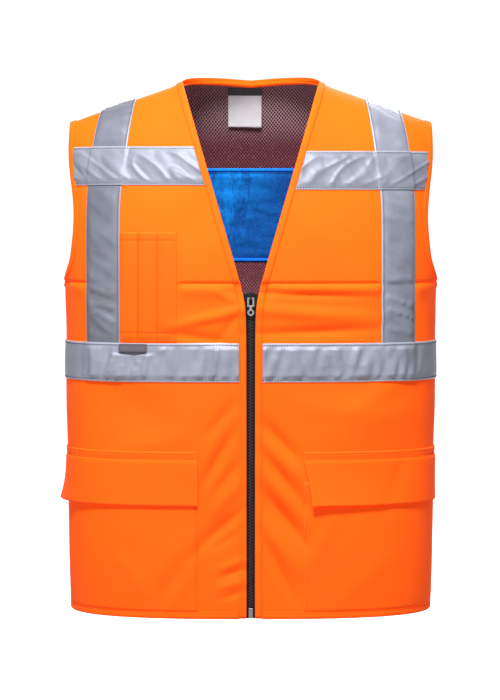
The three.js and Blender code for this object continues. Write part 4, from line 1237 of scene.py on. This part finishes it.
class VestLining(bpy.types.PropertyGroup):
    mesh_pitch: length_property("Mesh pitch", "Width of a cell of the mesh", 0.0044)
    # painted light: colour of the mesh's threads near the neck, paler as if lit more
    painted_light_thread: colour_property(
        "Pale thread", "Colour of the mesh's threads near the neck", (0.85, 0.55, 0.62)
    )
    # painted glints on the mesh's threads
    glint: colour_property("Glint", "Bright spots of the mesh's threads", (0.58, 0.24, 0.31))
    thread: colour_property("Thread", "Colour of the mesh's threads", (0.25, 0.030, 0.055))
    # painted shade: colours in the mesh's holes, dark as the shaded cloth behind them
    hole: colour_property("Hole", "Colour in the mesh's holes", (0.006, 0.002, 0.004))
    hole_red: colour_property("Red hole", "Colour in its redder holes", (0.045, 0.003, 0.009))
    blue: colour_property("Blue", "Colour of the cooling pad", (0.002, 0.25, 0.86))
    # painted highlights: the pale tips of the pad's pile
    light_blue: colour_property("Light blue", "Tips of the pad's pile", (0.03, 0.55, 1.0))
    navy: colour_property("Navy", "Shaded pile of the pad", (0.002, 0.05, 0.32))


class VestStitching(bpy.types.PropertyGroup):
    thread: length_property("Thread", "Thickness of the thread", 0.0008)
    pitch: length_property("Pitch", "Length of a stitch", 0.0028)


class VestStage(bpy.types.PropertyGroup):
    distance: length_property("Distance", "Camera to the middle of the vest", 3.3)
    height: bpy.props.FloatProperty(
        name="Height",
        description="Height of the camera above the origin",
        default=-0.128,
        unit="LENGTH",
    )
    floor: bpy.props.FloatProperty(
        name="Floor",
        description="Height of the floor",
        default=-0.86,
        unit="LENGTH",
    )


# ---- operators


class VestOperator(bpy.types.Operator):
    """Base of the vest's operators: a subclass's make() builds its pieces"""

    bl_options = {"REGISTER", "UNDO"}

    def execute(self, context):
        self.make(context.scene)
        return {"FINISHED"}


class VEST_OT_stage(VestOperator):
    """Sets up the floor, the studio light and the camera"""

    bl_idname = "vest.stage"
    bl_label = "Stage"

    def make(self, scene):
        stage = scene.vest_stage
        scene.view_settings.view_transform = "Standard"
        scene.view_settings.look = "None"
        paint = Paint("floor")
        uneven = paint.grain(paint.place(), 3.0)
        floor_finish = paint.finish(
            Base_Color=paint.blend(uneven, (0.90, 0.90, 0.90), (0.94, 0.94, 0.94)),
            Roughness=0.9,
            Emission_Color=(1, 1, 1, 1),
            Emission_Strength=1.0,
        )
        # floor, a quarter circle up behind the vest, and a wall
        bend = np.linspace(0, math.pi / 2, 12)
        radius, back = 1.5, 9.0
        y = np.concatenate([[-12.0], back + radius * np.sin(bend), [back + radius]])
        z = np.concatenate([[0.0], radius - radius * np.cos(bend), [9.0]]) + stage.floor
        x = np.array([-12.0, 12.0])
        points = np.stack(
            [
                x[None, :] + 0 * y[:, None],
                y[:, None] + 0 * x[None, :],
                z[:, None] + 0 * x[None, :],
            ],
            -1,
        )
        index = np.arange(points.shape[0] * 2).reshape(-1, 2)
        quads = np.stack([index[:-1, 0], index[:-1, 1], index[1:, 1], index[1:, 0]], -1)
        floor = make_mesh("floor", points, [quads], floor_finish)
        # the floor shines white by itself, and lights nothing
        floor.visible_diffuse = False

        def lamp(name, at, size, power):
            data = bpy.data.lights.new(name, "AREA")
            data.shape, data.size, data.size_y = "RECTANGLE", *size
            data.energy = power
            light = bpy.data.objects.new(name, data)
            light.location = at
            light.visible_camera = False
            aim = Vector((0, 0, -0.3)) - Vector(at)
            light.rotation_euler = aim.to_track_quat("-Z", "Y").to_euler()
            scene.collection.objects.link(light)

        lamp("key_light", (-0.1, -0.98, 1.05), (0.5, 0.3), 44)
        lamp("fill_light", (-1.3, -1.9, 0.0), (0.8, 0.8), 6.5)
        lamp("back_light", (0.4, 1.3, 1.0), (0.8, 0.6), 30)
        world = bpy.data.worlds.new("white_studio")
        world.use_nodes = True
        ground = world.node_tree.nodes["Background"]
        ground.inputs["Color"].default_value = (1, 1, 1, 1)
        ground.inputs["Strength"].default_value = 0.15
        scene.world = world

        data = bpy.data.cameras.new("camera")
        data.sensor_width = 36
        data.lens = 126.1
        camera = bpy.data.objects.new("camera", data)
        scene.collection.objects.link(camera)
        camera.location = (-0.001, -stage.distance, stage.height)
        aim = Vector((-0.001, 0, -0.330)) - camera.location
        camera.rotation_euler = aim.to_track_quat("-Z", "Y").to_euler()
        data.dof.use_dof = False
        scene.camera = camera


class VEST_OT_fronts(VestOperator):
    """Makes the two fronts"""

    bl_idname = "vest.fronts"
    bl_label = "Fronts"

    def make(self, scene):
        c = armhole_rows(HEM, RIDGE, scene.vest_cloth.step)
        for side, sign in SIDES.items():
            w = sign * spans(c, [neck_edge, side_edge], [74])
            piece = wall(
                f"front_cloth_{side}", w, c[:, None], 0, CLOTH, finish_of("orange_cloth")
            )
            finished(piece, "orange_cloth", f"front_panel_{side}")


def back_places(c, edge, counts):
    """Places of the back from one edge to the other: above the arch's foot the rows bend down to the neck edge."""
    neck = lambda level: across_at(NECK_HALF_WIDTH, level)
    w = spans(c, [flipped(edge), flipped(neck), neck, edge], counts)
    share = (c[:, None] - ARCH_FOOT) / ARCH_LENGTH
    level = np.where(share > 0, mix(ARCH_FOOT, back_top(w), share), c[:, None])
    return behind(w, level)


class VEST_OT_back(VestOperator):
    """Makes the back"""

    bl_idname = "vest.back"
    bl_label = "Back"

    def make(self, scene):
        c = armhole_rows(HEM, RIDGE, 0.0045)
        w, level = back_places(c, side_edge, [46, 46, 46])
        piece = wall("back_cloth", w, level, 0, CLOTH, finish_of("orange_cloth"))
        finished(piece, "orange_cloth", "back_panel")


class VEST_OT_lining(VestOperator):
    """Makes the mesh lining of the back"""

    bl_idname = "vest.lining"
    bl_label = "Lining"

    def make(self, scene):
        c = armhole_rows(HEM + LINING_INSET, RIDGE - LINING_INSET, 0.0055)
        inset = lambda level: along_girth(side_edge(level), level, -BINDING_TURN - LINING_INSET)
        w, level = back_places(c, inset, [36, 44, 36])
        eased = ease((c - HEM_TRIM) / 0.06) * ease((CREASE - c) / 0.06)
        over = -LINING_GAP - LINING_EASE * eased[:, None]
        piece = wall("mesh_lining", w, level, over - TRIM, over, finish_of("mesh_lining"))
        finished(piece, "mesh_lining", "back_lining")


class VEST_OT_cooling_pad(VestOperator):
    """Makes the cooling pad and its piping"""

    bl_idname = "vest.cooling_pad"
    bl_label = "Cooling pad"

    def make(self, scene):
        low, high = PANEL_BOTTOM + PIPING_WIDTH, PANEL_TOP - PIPING_WIDTH
        c = rows_between(low + SEAM, high - SEAM, 0.002)
        w = spans(c, [flipped(brace_edge), brace_edge], [150])
        up = clamp01((c - low) / (high - low))[:, None]
        across = np.abs(np.linspace(-1, 1, w.shape[1]))[None, :]
        edge = ease(np.minimum(up, 1 - up) / 0.06) * ease((1 - across) / 0.05)
        x, z = w * 0.25, c[:, None]
        crumple = 0.0011 * noise(x / 0.024 + z / 0.05, z / 0.017) + 0.0005 * noise(
            x / 0.008, z / 0.0065
        )
        thick = 0.0012 + 0.0020 * edge + crumple * edge
        piece = wall(
            "cooling_pad",
            *behind(w, z),
            PANEL_DEPTH - thick,
            PANEL_DEPTH,
            finish_of("cooling_cloth"),
        )
        finished(piece, "cooling_cloth", "cooling_panel")
        for name, bottom, top in (
            ("bottom", PANEL_BOTTOM, low),
            ("top", high, PANEL_TOP),
        ):
            c = np.linspace(bottom, top, 9)
            w = spans(c, [flipped(brace_edge), brace_edge], [120])
            bow = np.sin(math.pi * np.linspace(0, 1, 9))[:, None] ** 0.6
            piece = wall(
                f"pad_piping_{name}",
                *behind(w, c[:, None]),
                PANEL_DEPTH - 0.0008 - 0.0016 * bow,
                PANEL_DEPTH,
                finish_of("cooling_piping"),
            )
            finished(piece, "cooling_piping", f"cooling_panel_{name}_piping")


class VEST_OT_label(VestOperator):
    """Makes the bare label in the back neck"""

    bl_idname = "vest.label"
    bl_label = "Label"

    def make(self, scene):
        top = BACK_NECK_HEIGHT - LABEL_DROP
        z = np.linspace(top - LABEL_HEIGHT, top, 28)[:, None]
        x = np.linspace(-0.5, 0.5, 25)[None, :] * LABEL_WIDTH + LABEL_OFFSET
        c = level_at(z, x)
        depth = PANEL_DEPTH - 2 * GAP
        hang = clamp01((top - z) / LABEL_HEIGHT)
        curl = 0.0022 * hang**2 * (0.4 + 0.6 * clamp01((x - LABEL_OFFSET) / LABEL_WIDTH + 0.5))
        piece = wall(
            "neck_label_cloth",
            *behind(across_at(x, c), c),
            depth - TRIM * 0.5 - curl,
            depth - curl,
            finish_of("label_cloth"),
        )
        finished(piece, "label_cloth", "neck_label")


class VEST_OT_bindings(VestOperator):
    """Makes the bindings of the fronts, the armholes, the back neck and the hem"""

    bl_idname = "vest.bindings"
    bl_label = "Bindings"

    def make(self, scene):
        orange = finish_of("orange_binding")
        for side, sign in SIDES.items():
            c = rows_between(HEM, RIDGE - SEAM, 0.004, CREASE)
            w = sign * neck_edge(c)
            into = sign * unit(slopes_of(folded_form, w, c)[0])
            piece = carried(f"front_edge_{side}", w, c, binding_profile(0), into, orange)
            finished(piece, "orange_binding", f"front_binding_{side}")

            rising = armhole_rows(CREASE, RIDGE, 0.005)
            c = np.concatenate([rising, 2 * RIDGE - rising[-2:0:-1]])
            w = sign * side_edge(c)
            into = square_to(w, c, -sign, True)
            profile = binding_profile(LINED, BINDING_TURN, LOOSE_GAP)
            piece = carried(f"armhole_edge_{side}", w, c, profile, into, orange, True)
            finished(piece, "orange_binding", f"armhole_binding_{side}")

        neck = across_at(NECK_HALF_WIDTH, RIDGE - SEAM / 2)
        w = np.linspace(-neck, neck, 61)
        share = (RIDGE - SEAM / 2 - ARCH_FOOT) / ARCH_LENGTH
        w, c = behind(w, mix(ARCH_FOOT, back_top(w), share))
        into = square_to(w, c, 1)
        across = unit(slopes_of(folded_form, w, c)[0])
        for end, hand in ((0, -1), (-1, 1)):
            into[end] = unit(into[end] + hand * across[end])
        profile = binding_profile(LINED, NECK_TURN, LOOSE_GAP)
        piece = carried("back_neck_edge", w, c, profile, into, orange)
        finished(piece, "orange_binding", "back_neck_binding")

        w, c = round_the_body(np.array([HEM]), 0.006)
        up = np.array([0.0, 0.0, 1.0]) + np.zeros((w.shape[1], 3))
        piece = carried("hem_edge", w[0], c[0], binding_profile(LINED), up, orange)
        finished(piece, "orange_binding", "hem_binding")


def round_the_body(c, step):
    """Places from the right front's trim round the back to the left front's."""
    count = round(0.62 / step)
    right = spans(c, [flipped(trim_in), lambda level: -1.0, lambda level: -2.0], [count // 2] * 2)
    left = -right[:, ::-1]
    w = np.concatenate([right, left[:, 1:]], 1)
    return w, c[:, None] + np.zeros_like(w)


def brace_lift(w, c):
    """1 where a tape lies over a brace, eased over its edges."""
    inner, outer = brace_edge(c), brace_out(c)
    size = np.where(np.abs(w) > 1, 2 - np.abs(w), np.abs(w))
    soft = 0.008
    return ease((size - inner) / soft + 1) * ease((outer - size) / soft + 1)


def edge_groove(across, width):
    """A tape's dip along its two rows of stitching, STITCH_INSET from its edges."""
    near = np.minimum(across, width - across)
    return -0.00035 * np.exp(-(((near - STITCH_INSET) / 0.0009) ** 2))


def between_rows(across, width):
    """0 up to a tape's rows of stitching and 1 well between them, as ease."""
    near = np.minimum(across, width - across)
    return ease((near - STITCH_INSET - 0.0006) / 0.006)


def creases(x, y):
    """Sharp ridges from 0 to 1 between flat valleys: (1 - |noise|)^4."""
    return np.maximum(0, 1 - 1.4 * np.abs(noise(x, y))) ** 4


class VEST_OT_tapes(VestOperator):
    """Makes the reflective tapes"""

    bl_idname = "vest.tapes"
    bl_label = "Tapes"

    def make(self, scene):
        silver = finish_of("reflective_tape")
        pucker = scene.vest_tape.pucker
        c = rows_between(WAIST_BOTTOM, WAIST_TOP, 0.0018)
        w, level = round_the_body(c, 0.0034)
        along = lengths(surface(w[:1], level[:1])[0], 1)[0]
        across = (c - WAIST_BOTTOM)[:, None]
        swell = between_rows(across, TAPE_WIDTH)
        lean = along[None, :] + 0.22 * (across - TAPE_WIDTH / 2)
        bulge = np.abs(noise(lean / 0.0125, across / 0.08))
        sharp = creases(lean / 0.0175 + 5.2, across / 0.09)
        lift = pucker * swell * (1.1 * bulge + 0.8 * sharp)
        # the tape lies flat under the tab
        x = plain_form(w, level)[0][..., 0]
        flat = band(-x, TAB_REACH[0], TAB_REACH[1], 0.006)
        lift *= 1 - flat * ease((across - TAPE_WIDTH + TAB_HEIGHT + 0.006) / 0.004)
        # and pulled tight round the sides
        lift *= 1 - 0.85 * ease((np.abs(x) - 0.200) / 0.030)
        under = ON_CLOTH + LAYER * brace_lift(w, level) + lift
        groove = edge_groove(across, TAPE_WIDTH)
        outer = under + TRIM + groove
        piece = wall("waist_band", w, level, under, outer, silver, ends=False)
        finished(piece, "reflective_tape", "waist_tape")

        for side, sign in SIDES.items():
            top = -CHEST_TAPE_DROP[side]
            c = rows_between(top - TAPE_WIDTH, top, 0.0018)
            w = sign * spans(c, [trim_in, trim_out], [96])
            across = (c - c[0])[:, None]
            point = surface(w, c[:, None])[0]
            x, z = point[..., 0], point[..., 2]
            swell = between_rows(across, TAPE_WIDTH)
            ridges = np.abs(noise(x / 0.022 + z / 0.03, z / 0.034 + sign)) + 0.7 * (
                creases(x / 0.03 - sign * z / 0.03, z / 0.05 + 2.0 * sign)
            )
            under = ON_CLOTH + LAYER * brace_lift(w, c[:, None]) + 0.55 * pucker * swell * ridges
            groove = edge_groove(across, TAPE_WIDTH)
            piece = wall(
                f"chest_band_{side}",
                w,
                c[:, None],
                under,
                under + TRIM + groove,
                finish_of("chest_tape"),
                ends=False,
            )
            finished(piece, "reflective_tape", f"chest_tape_{side}")

            c = rows_between(BRACE_END, 2 * RIDGE - BRACE_END, 0.0034, CREASE, RIDGE)
            w = sign * spans(c, [brace_edge, brace_out], [18])
            across = np.linspace(0, TAPE_WIDTH, 19)[None, :]
            swell = between_rows(across, TAPE_WIDTH)
            # creases that cross the brace slanting, more of them under the armhole's foot
            slant = c[:, None] + sign * 0.5 * across
            crowd = 0.6 + 1.2 * band(c, CREASE - 0.055, CREASE, 0.02)[:, None]
            ridges = 0.7 * np.abs(noise(across / 0.05 + sign, slant / 0.026)) + crowd * (
                creases(across / 0.08 + sign, slant / 0.021)
            )
            shown = 1 - (
                ease((c - top + TAPE_WIDTH + 0.01) / 0.01) * ease((top + 0.01 - c) / 0.01)
                + ease((WAIST_TOP + 0.01 - c) / 0.01)
            )
            lift = 0.5 * pucker * swell * ridges * clamp01(shown)[:, None]
            outer = ON_CLOTH + lift + TRIM + edge_groove(across, TAPE_WIDTH)
            piece = wall(
                f"brace_band_{side}",
                w,
                c[:, None],
                ON_CLOTH + lift,
                outer,
                finish_of(f"brace_tape_{side}"),
                True,
                False,
            )
            finished(piece, "reflective_tape", f"brace_{side}")


def pen_columns(c, columns):
    """Columns across the pen pocket, `columns` of them to each slot, and their places in the slots."""
    inner = lambda level: along_girth(brace_edge(level), level, -SEAM)
    w = -spans(c, [pocket_edge, inner], [PEN_SLOTS * columns])
    return w, np.linspace(0, PEN_SLOTS, w.shape[1])


def pen_dome(slot):
    """Swell of the pen slots, 0 on the rows of stitching: |sine|^0.6, leaning to one side of each slot."""
    return np.abs(np.sin(math.pi * slot)) ** 0.6 * (0.75 + 0.5 * (slot % 1))


class VEST_OT_pen_pocket(VestOperator):
    """Makes the pen pocket with its three slots"""

    bl_idname = "vest.pen_pocket"
    bl_label = "Pen pocket"

    def make(self, scene):
        c = rows_between(WAIST_TOP + SEAM, PEN_TOP, 0.0024, PEN_TOP - 0.010)
        w, slot = pen_columns(c, 16)
        up = ((c - c[0]) / (c[-1] - c[0]))[:, None]
        dome = pen_dome(slot)[None, :]
        puff = 0.0034 * dome * ease(up / 0.06) * (0.6 + 0.4 * up)
        hem = -0.0006 * np.exp(-(((c - PEN_TOP + 0.0095) / 0.0011) ** 2))[:, None]
        under = ON_CLOTH + puff
        piece = wall(
            "pen_pouch", w, c[:, None], under, under + TRIM + hem, finish_of("pouch_cloth")
        )
        finished(piece, "orange_cloth", "pen_pocket")


class VEST_OT_tab(VestOperator):
    """Makes the bare woven tab"""

    bl_idname = "vest.tab"
    bl_label = "Tab"

    def make(self, scene):
        top = WAIST_TOP - 0.001
        c = np.linspace(top - TAB_HEIGHT, top, 14)
        end = lambda level: along_girth(brace_edge(level), level, -TAB_LENGTH)
        w = -spans(c, [brace_edge, end], [32])
        out = ON_CLOTH + 2 * LAYER + 0.0009 * np.sin(math.pi * np.linspace(0, 1, 33))[None, :]
        piece = wall("woven_tab", w, c[:, None], out, out + TRIM, finish_of("tab_cloth"))
        finished(piece, "tab_cloth", "side_tab")


OUTER_FLARE = {"right": 0.008, "left": 0.0}
INNER_FLARE = {"right": 0.0, "left": 0.007}
FLAP_LIFT = {"right": 0.002, "left": 0.001}
FLAP_SLANT = {"right": 0.0, "left": 0.008}


def bag_puff(c, across):
    """Swell of a lower pocket: 3 mm x sine across x sine up."""
    up = clamp01((c - HEM) / (FLAP_STITCH - HEM))
    return 0.003 * np.sin(math.pi * across) * np.sin(math.pi * up**0.8)


def flap_distance(c, across, side):
    """Inner face of a flap: on its bag, with its free edge and corners standing off."""
    down = clamp01((FLAP_STITCH - c) / (FLAP_STITCH - FLAP_BOTTOM))
    outer = OUTER_FLARE[side] * across**3
    inner = INNER_FLARE[side] * (1 - across) ** 3
    lift = FLAP_LIFT[side] * down**1.5 + (outer + inner) * down**2
    sewn = ease(down / 0.08)
    return ON_CLOTH + sewn * (LAYER + bag_puff(c, across)) + lift


class VEST_OT_pockets(VestOperator):
    """Makes the lower pockets' bags and flaps"""

    bl_idname = "vest.pockets"
    bl_label = "Pockets"

    def make(self, scene):
        orange = finish_of("orange_cloth")
        for side, sign in SIDES.items():
            c = rows_between(HEM_TRIM + SEAM, mix(FLAP_BOTTOM, FLAP_STITCH, 0.5), 0.0035)
            w = sign * spans(c, [pocket_edge, trim_out], [60])
            across = np.linspace(0, 1, 61)[None, :]
            under = ON_CLOTH + bag_puff(c[:, None], across)
            piece = wall(f"pocket_{side}", w, c[:, None], under, under + TRIM, orange)
            finished(piece, "orange_cloth", f"pocket_bag_{side}")

            c = rows_between(FLAP_BOTTOM, POCKET_TOP, 0.0024, FLAP_STITCH)
            w = sign * spans(c, [pocket_edge, trim_out], [70])
            across = np.linspace(0, 1, 71)[None, :]
            # the inner edge slants outwards as it hangs
            down = clamp01((FLAP_STITCH - c) / (FLAP_STITCH - FLAP_BOTTOM))
            girth = FLAP_SLANT[side] * down[:, None] * (1 - across)
            w = w + sign * girth / lengths(surface(w, c[:, None])[0], 1)[:, -1:] * np.ptp(w, 1)[:, None]
            under = flap_distance(c[:, None], across, side)
            groove = -0.0005 * np.exp(-(((c - FLAP_STITCH) / 0.0012) ** 2))[:, None]
            piece = wall(
                f"flap_{side}", w, c[:, None], under, under + CLOTH + groove, orange
            )
            finished(piece, "orange_cloth", f"pocket_flap_{side}")


TOOTH_POINTS = np.array(
    [
        (x, y, z)
        for x, reach in ((0.0, 1.0), (0.6, 0.8), (1.0, 0.9))
        for y, z in ((-reach, -0.6), (-reach, 0.6), (reach, 0.6), (reach, -0.6))
    ]
)


def ring_faces(rings, corners):
    """Quads round a stack of rings, and the two end faces."""
    index = np.arange(rings * corners).reshape(rings, corners)
    here, following = index[:-1], index[1:]
    quads = np.stack(
        [here, np.roll(here, -1, 1), np.roll(following, -1, 1), following], -1
    ).reshape(-1, 4)
    return np.concatenate([quads, index[:1, ::-1], index[-1:]])


class VEST_OT_zip(VestOperator):
    """Makes the zip: its tapes, teeth, slider, pull and bottom box"""

    bl_idname = "vest.zip"
    bl_label = "Zip"

    def make(self, scene):
        for side, sign in SIDES.items():
            c = rows_between(HEM, ZIP_TOP, 0.006)
            x = np.linspace(0.0008, 0.01425, 9)[None, :] * sign
            w = across_at(x, c[:, None])
            piece = wall(
                f"zip_ribbon_{side}",
                w,
                c[:, None],
                ZIP_TAPE_DEPTH,
                ZIP_TAPE_DEPTH + TRIM,
                finish_of("zip_cloth"),
            )
            finished(piece, "zip_cloth", f"zip_tape_{side}")

        # teeth: a row from each side, half a pitch apart, that meet in the middle
        bottom, pitch = HEM + BOX_HEIGHT + GAP, 0.0021
        count = int((CHAIN_TOP - bottom) / pitch)
        level = bottom + (np.arange(count) + 0.5) * pitch
        hand = np.where(np.arange(count) % 2, 1.0, -1.0)
        point, normal = surface(np.zeros(count), level)
        point = point + normal * CHAIN_DEPTH
        across, up = slopes_of(folded_form, np.zeros(count), level)
        across, up = unit(across) * hand[:, None], unit(up)
        reach = np.array([0.0036, 0.0012, 0.00155])
        local = TOOTH_POINTS * reach - np.array([0.0007, 0, 0])
        local[:, 2] = TOOTH_POINTS[:, 2] * 0.0017
        teeth = (
            point[:, None]
            + across[:, None] * local[None, :, :1]
            + normal[:, None] * local[None, :, 1:2]
            + up[:, None] * local[None, :, 2:]
        )
        faces = ring_faces(3, 4)
        turned = faces[:, ::-1]
        offset = (np.arange(count) * len(TOOTH_POINTS))[:, None, None]
        both = np.where((hand > 0)[:, None, None], faces[None], turned[None]) + offset
        piece = make_mesh("zip_teeth", teeth, [both.reshape(-1, 4)], finish_of("zip_chain"))
        finished(piece, "zip_chain", "zip_chain")

        for node, body, bevel in (
            ("zip_slider", "vest", 0.0004),
            ("zip_pull", "pull", 0.0004),
            ("zip_bottom_box", "vest", 0.0006),
        ):
            slot = {"zip_bottom_box": "zip_box"}.get(node, node)
            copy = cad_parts[node].data.copy()
            copy.materials.clear()
            copy.materials.append(finish_of(slot))
            piece = bpy.data.objects.new(f"{node}_cast", copy)
            scene.collection.objects.link(piece)
            weld = piece.modifiers.new("weld", "WELD")
            weld.merge_threshold = 1e-6
            soft = piece.modifiers.new("soft_edges", "BEVEL")
            soft.width, soft.segments, soft.limit_method = bevel, 3, "ANGLE"
            soft.angle_limit = math.radians(40)
            finished(piece, slot, node, body=body)


def rows_of(low, high, step=0.003):
    return np.linspace(low, high, max(3, int((high - low) / step)))


# pitch, slant, weight and share of the stitches on the tapes
TAPE_STITCH = (0.0038, 0.35, 1.7, 0.52)


class VEST_OT_stitching(VestOperator):
    """Makes the rows of stitches on the tapes, the edges and the pockets"""

    bl_idname = "vest.stitching"
    bl_label = "Stitching"

    def make(self, scene):
        pitch = scene.vest_stitching.pitch
        on_tape = ON_CLOTH + TRIM + 0.0001
        inset = STITCH_INSET
        silver, orange, blue, dark = [], [], [], []
        for level in (WAIST_BOTTOM + inset, WAIST_TOP - inset):
            w, c = round_the_body(np.array([level]), 0.004)
            out = on_tape + LAYER * brace_lift(w[0], c[0])
            silver.append(stitch_run(w[0], c[0], out, *TAPE_STITCH))
        for side, sign in SIDES.items():
            top = -CHEST_TAPE_DROP[side]
            for level in (top - TAPE_WIDTH + inset, top - inset):
                c = np.full(60, level)
                w = sign * np.linspace(trim_in(c[:1])[0], trim_out(c[:1])[0], 60)
                out = on_tape + LAYER * brace_lift(w, c)
                silver.append(stitch_run(w, c, out, *TAPE_STITCH))
            parts = (
                (WAIST_TOP, top - TAPE_WIDTH),
                (top, 2 * RIDGE - BRACE_END),
            )
            for low, high in parts:
                for girth in (inset, TAPE_WIDTH - inset):
                    c = rows_of(low, high)
                    w = sign * along_girth(brace_edge(c), c, girth)
                    silver.append(stitch_run(w, c, on_tape, *TAPE_STITCH))

            edge_out = CLOTH + BINDING_GAP + 0.62 * TRIM
            c = rows_of(HEM, RIDGE - SEAM)
            w = sign * along_girth(neck_edge(c), c, BINDING_WIDTH - 0.0016)
            orange.append(stitch_run(w, c, edge_out, pitch))
            c = rows_of(FLAP_STITCH, HEM)[::-1]
            c = np.linspace(HEM_TRIM, FLAP_BOTTOM + 0.02, 60)
            w = sign * along_girth(pocket_edge(c), c, 0.002)
            orange.append(stitch_run(w, c, ON_CLOTH + TRIM, pitch))
            c = np.full(60, FLAP_STITCH)
            inner, outer = pocket_edge(c[:1])[0], trim_out(c[:1])[0]
            w = sign * np.linspace(inner, outer, 60)
            orange.append(stitch_run(w, c, ON_CLOTH + CLOTH - 0.0002, pitch))
            c = np.full(60, POCKET_TOP - 0.0015)
            orange.append(stitch_run(w, c, ON_CLOTH + CLOTH, pitch))
        # the pen pocket's thick, dark stitches are painted shade along its grooves and under its lip
        c = rows_of(WAIST_TOP + 0.002, PEN_TOP - 0.001)
        columns, _ = pen_columns(c, 1)
        sewn = WAIST_TOP + 0.015
        ends = pen_columns(np.array([sewn]), 1)[0][0]
        w = np.linspace(ends[0], ends[-1], 40)
        slot = np.linspace(0, PEN_SLOTS, 40)
        out = ON_CLOTH + TRIM + 0.0023 * pen_dome(slot)
        dark.append(stitch_run(w, np.full(40, sewn), out, pitch, 0, 1.2, 0.9))
        for k in range(PEN_SLOTS + 1):
            w = columns[:, k] + (0.0 if 0 < k < PEN_SLOTS else (-0.004 if k == 0 else 0.004))
            dark.append(stitch_run(w, c, ON_CLOTH + TRIM, pitch, 0, 1.6, 0.95))
        c = np.full(40, PEN_TOP - 0.0095)
        ends = pen_columns(c[:1], 1)[0][0]
        w = np.linspace(ends[0], ends[-1], 40)
        slot = np.linspace(0, PEN_SLOTS, 40)
        out = ON_CLOTH + TRIM + 0.0034 * pen_dome(slot) - 0.0005
        dark.append(stitch_run(w, c, out, pitch, 0, 1.2, 0.9))
        w, c = round_the_body(np.array([HEM + BINDING_WIDTH - 0.0016]), 0.004)
        orange.append(stitch_run(w[0], c[0], CLOTH + BINDING_GAP + 0.62 * TRIM, pitch))
        for level in (PANEL_TOP - PIPING_WIDTH - 0.001,):
            c = np.full(120, level)
            edge = brace_edge(c[:1])[0]
            w, c = behind(np.linspace(-edge, edge, 120), c)
            blue.append(stitch_run(w, c, PANEL_DEPTH - 0.0019, pitch))
        pieces = (
            ("tape_stitches", silver, "silver_thread", "reflective_tape"),
            ("cloth_stitches", orange, "orange_thread", "orange_binding"),
            ("pouch_stitches", dark, "painted_shade_thread", "orange_cloth"),
            ("pad_stitches", blue, "blue_thread", "cooling_piping"),
        )
        for name, runs, thread, slot in pieces:
            finished(stitches(name, runs, finish_of(thread)), slot)


# Sheets of cloth: the piece, how it is held, what it hangs from or lies on, and the trims on it
SHEETS = [
    ("back_cloth", "hung", [], ["back_neck_edge", "hem_edge"]),
    ("mesh_lining", "hung", ["back_neck_edge"], []),
    ("neck_label_cloth", "hung", ["mesh_lining"], []),
    ("waist_band", "gathered", ["back_cloth"], []),
    ("woven_tab", "laid", ["waist_band"], []),
    ("pen_pouch", "laid", ["front_cloth_right"], []),
]
for _side in SIDES:
    SHEETS += [
        (f"front_cloth_{_side}", "hung", ["back_cloth"], [f"front_edge_{_side}", f"armhole_edge_{_side}"]),
        (f"chest_band_{_side}", "laid", [f"front_cloth_{_side}"], []),
        (f"brace_band_{_side}", "laid", [f"front_cloth_{_side}"], []),
        (f"pocket_{_side}", "laid", [f"front_cloth_{_side}"], []),
        (f"flap_{_side}", "hung", [f"front_cloth_{_side}"], []),
        (f"zip_ribbon_{_side}", "hung", [f"front_edge_{_side}"], []),
    ]


GROUPS = {
    "vest_cloth": VestCloth,
    "vest_tape": VestTape,
    "vest_lining": VestLining,
    "vest_stitching": VestStitching,
    "vest_stage": VestStage,
}
OPERATORS = (
    VEST_OT_stage,
    VEST_OT_fronts,
    VEST_OT_back,
    VEST_OT_lining,
    VEST_OT_cooling_pad,
    VEST_OT_label,
    VEST_OT_bindings,
    VEST_OT_tapes,
    VEST_OT_pen_pocket,
    VEST_OT_tab,
    VEST_OT_pockets,
    VEST_OT_zip,
    VEST_OT_stitching,
)


class VEST_PT_panel(bpy.types.Panel):
    """Sizes, colours and operators of the vest"""

    bl_label = "Cooling Vest"
    bl_idname = "VEST_PT_panel"
    bl_space_type = "VIEW_3D"
    bl_region_type = "UI"
    bl_category = "Cooling Vest"

    def draw(self, context):
        for name, group in GROUPS.items():
            box = self.layout.box()
            for key in group.__annotations__:
                box.prop(getattr(context.scene, name), key)
        for operator in OPERATORS:
            self.layout.operator(operator.bl_idname)


CLASSES = (*GROUPS.values(), *OPERATORS, VEST_PT_panel)


def register():
    for cls in CLASSES:
        bpy.utils.register_class(cls)
    for name, group in GROUPS.items():
        setattr(bpy.types.Scene, name, bpy.props.PointerProperty(type=group))


def unregister():
    for name in GROUPS:
        delattr(bpy.types.Scene, name)
    for cls in reversed(CLASSES):
        bpy.utils.unregister_class(cls)


def main():
    register()
    for operator in OPERATORS:
        group, action = operator.bl_idname.split(".")
        getattr(getattr(bpy.ops, group), action)()


if __name__ == "__main__":
    main()
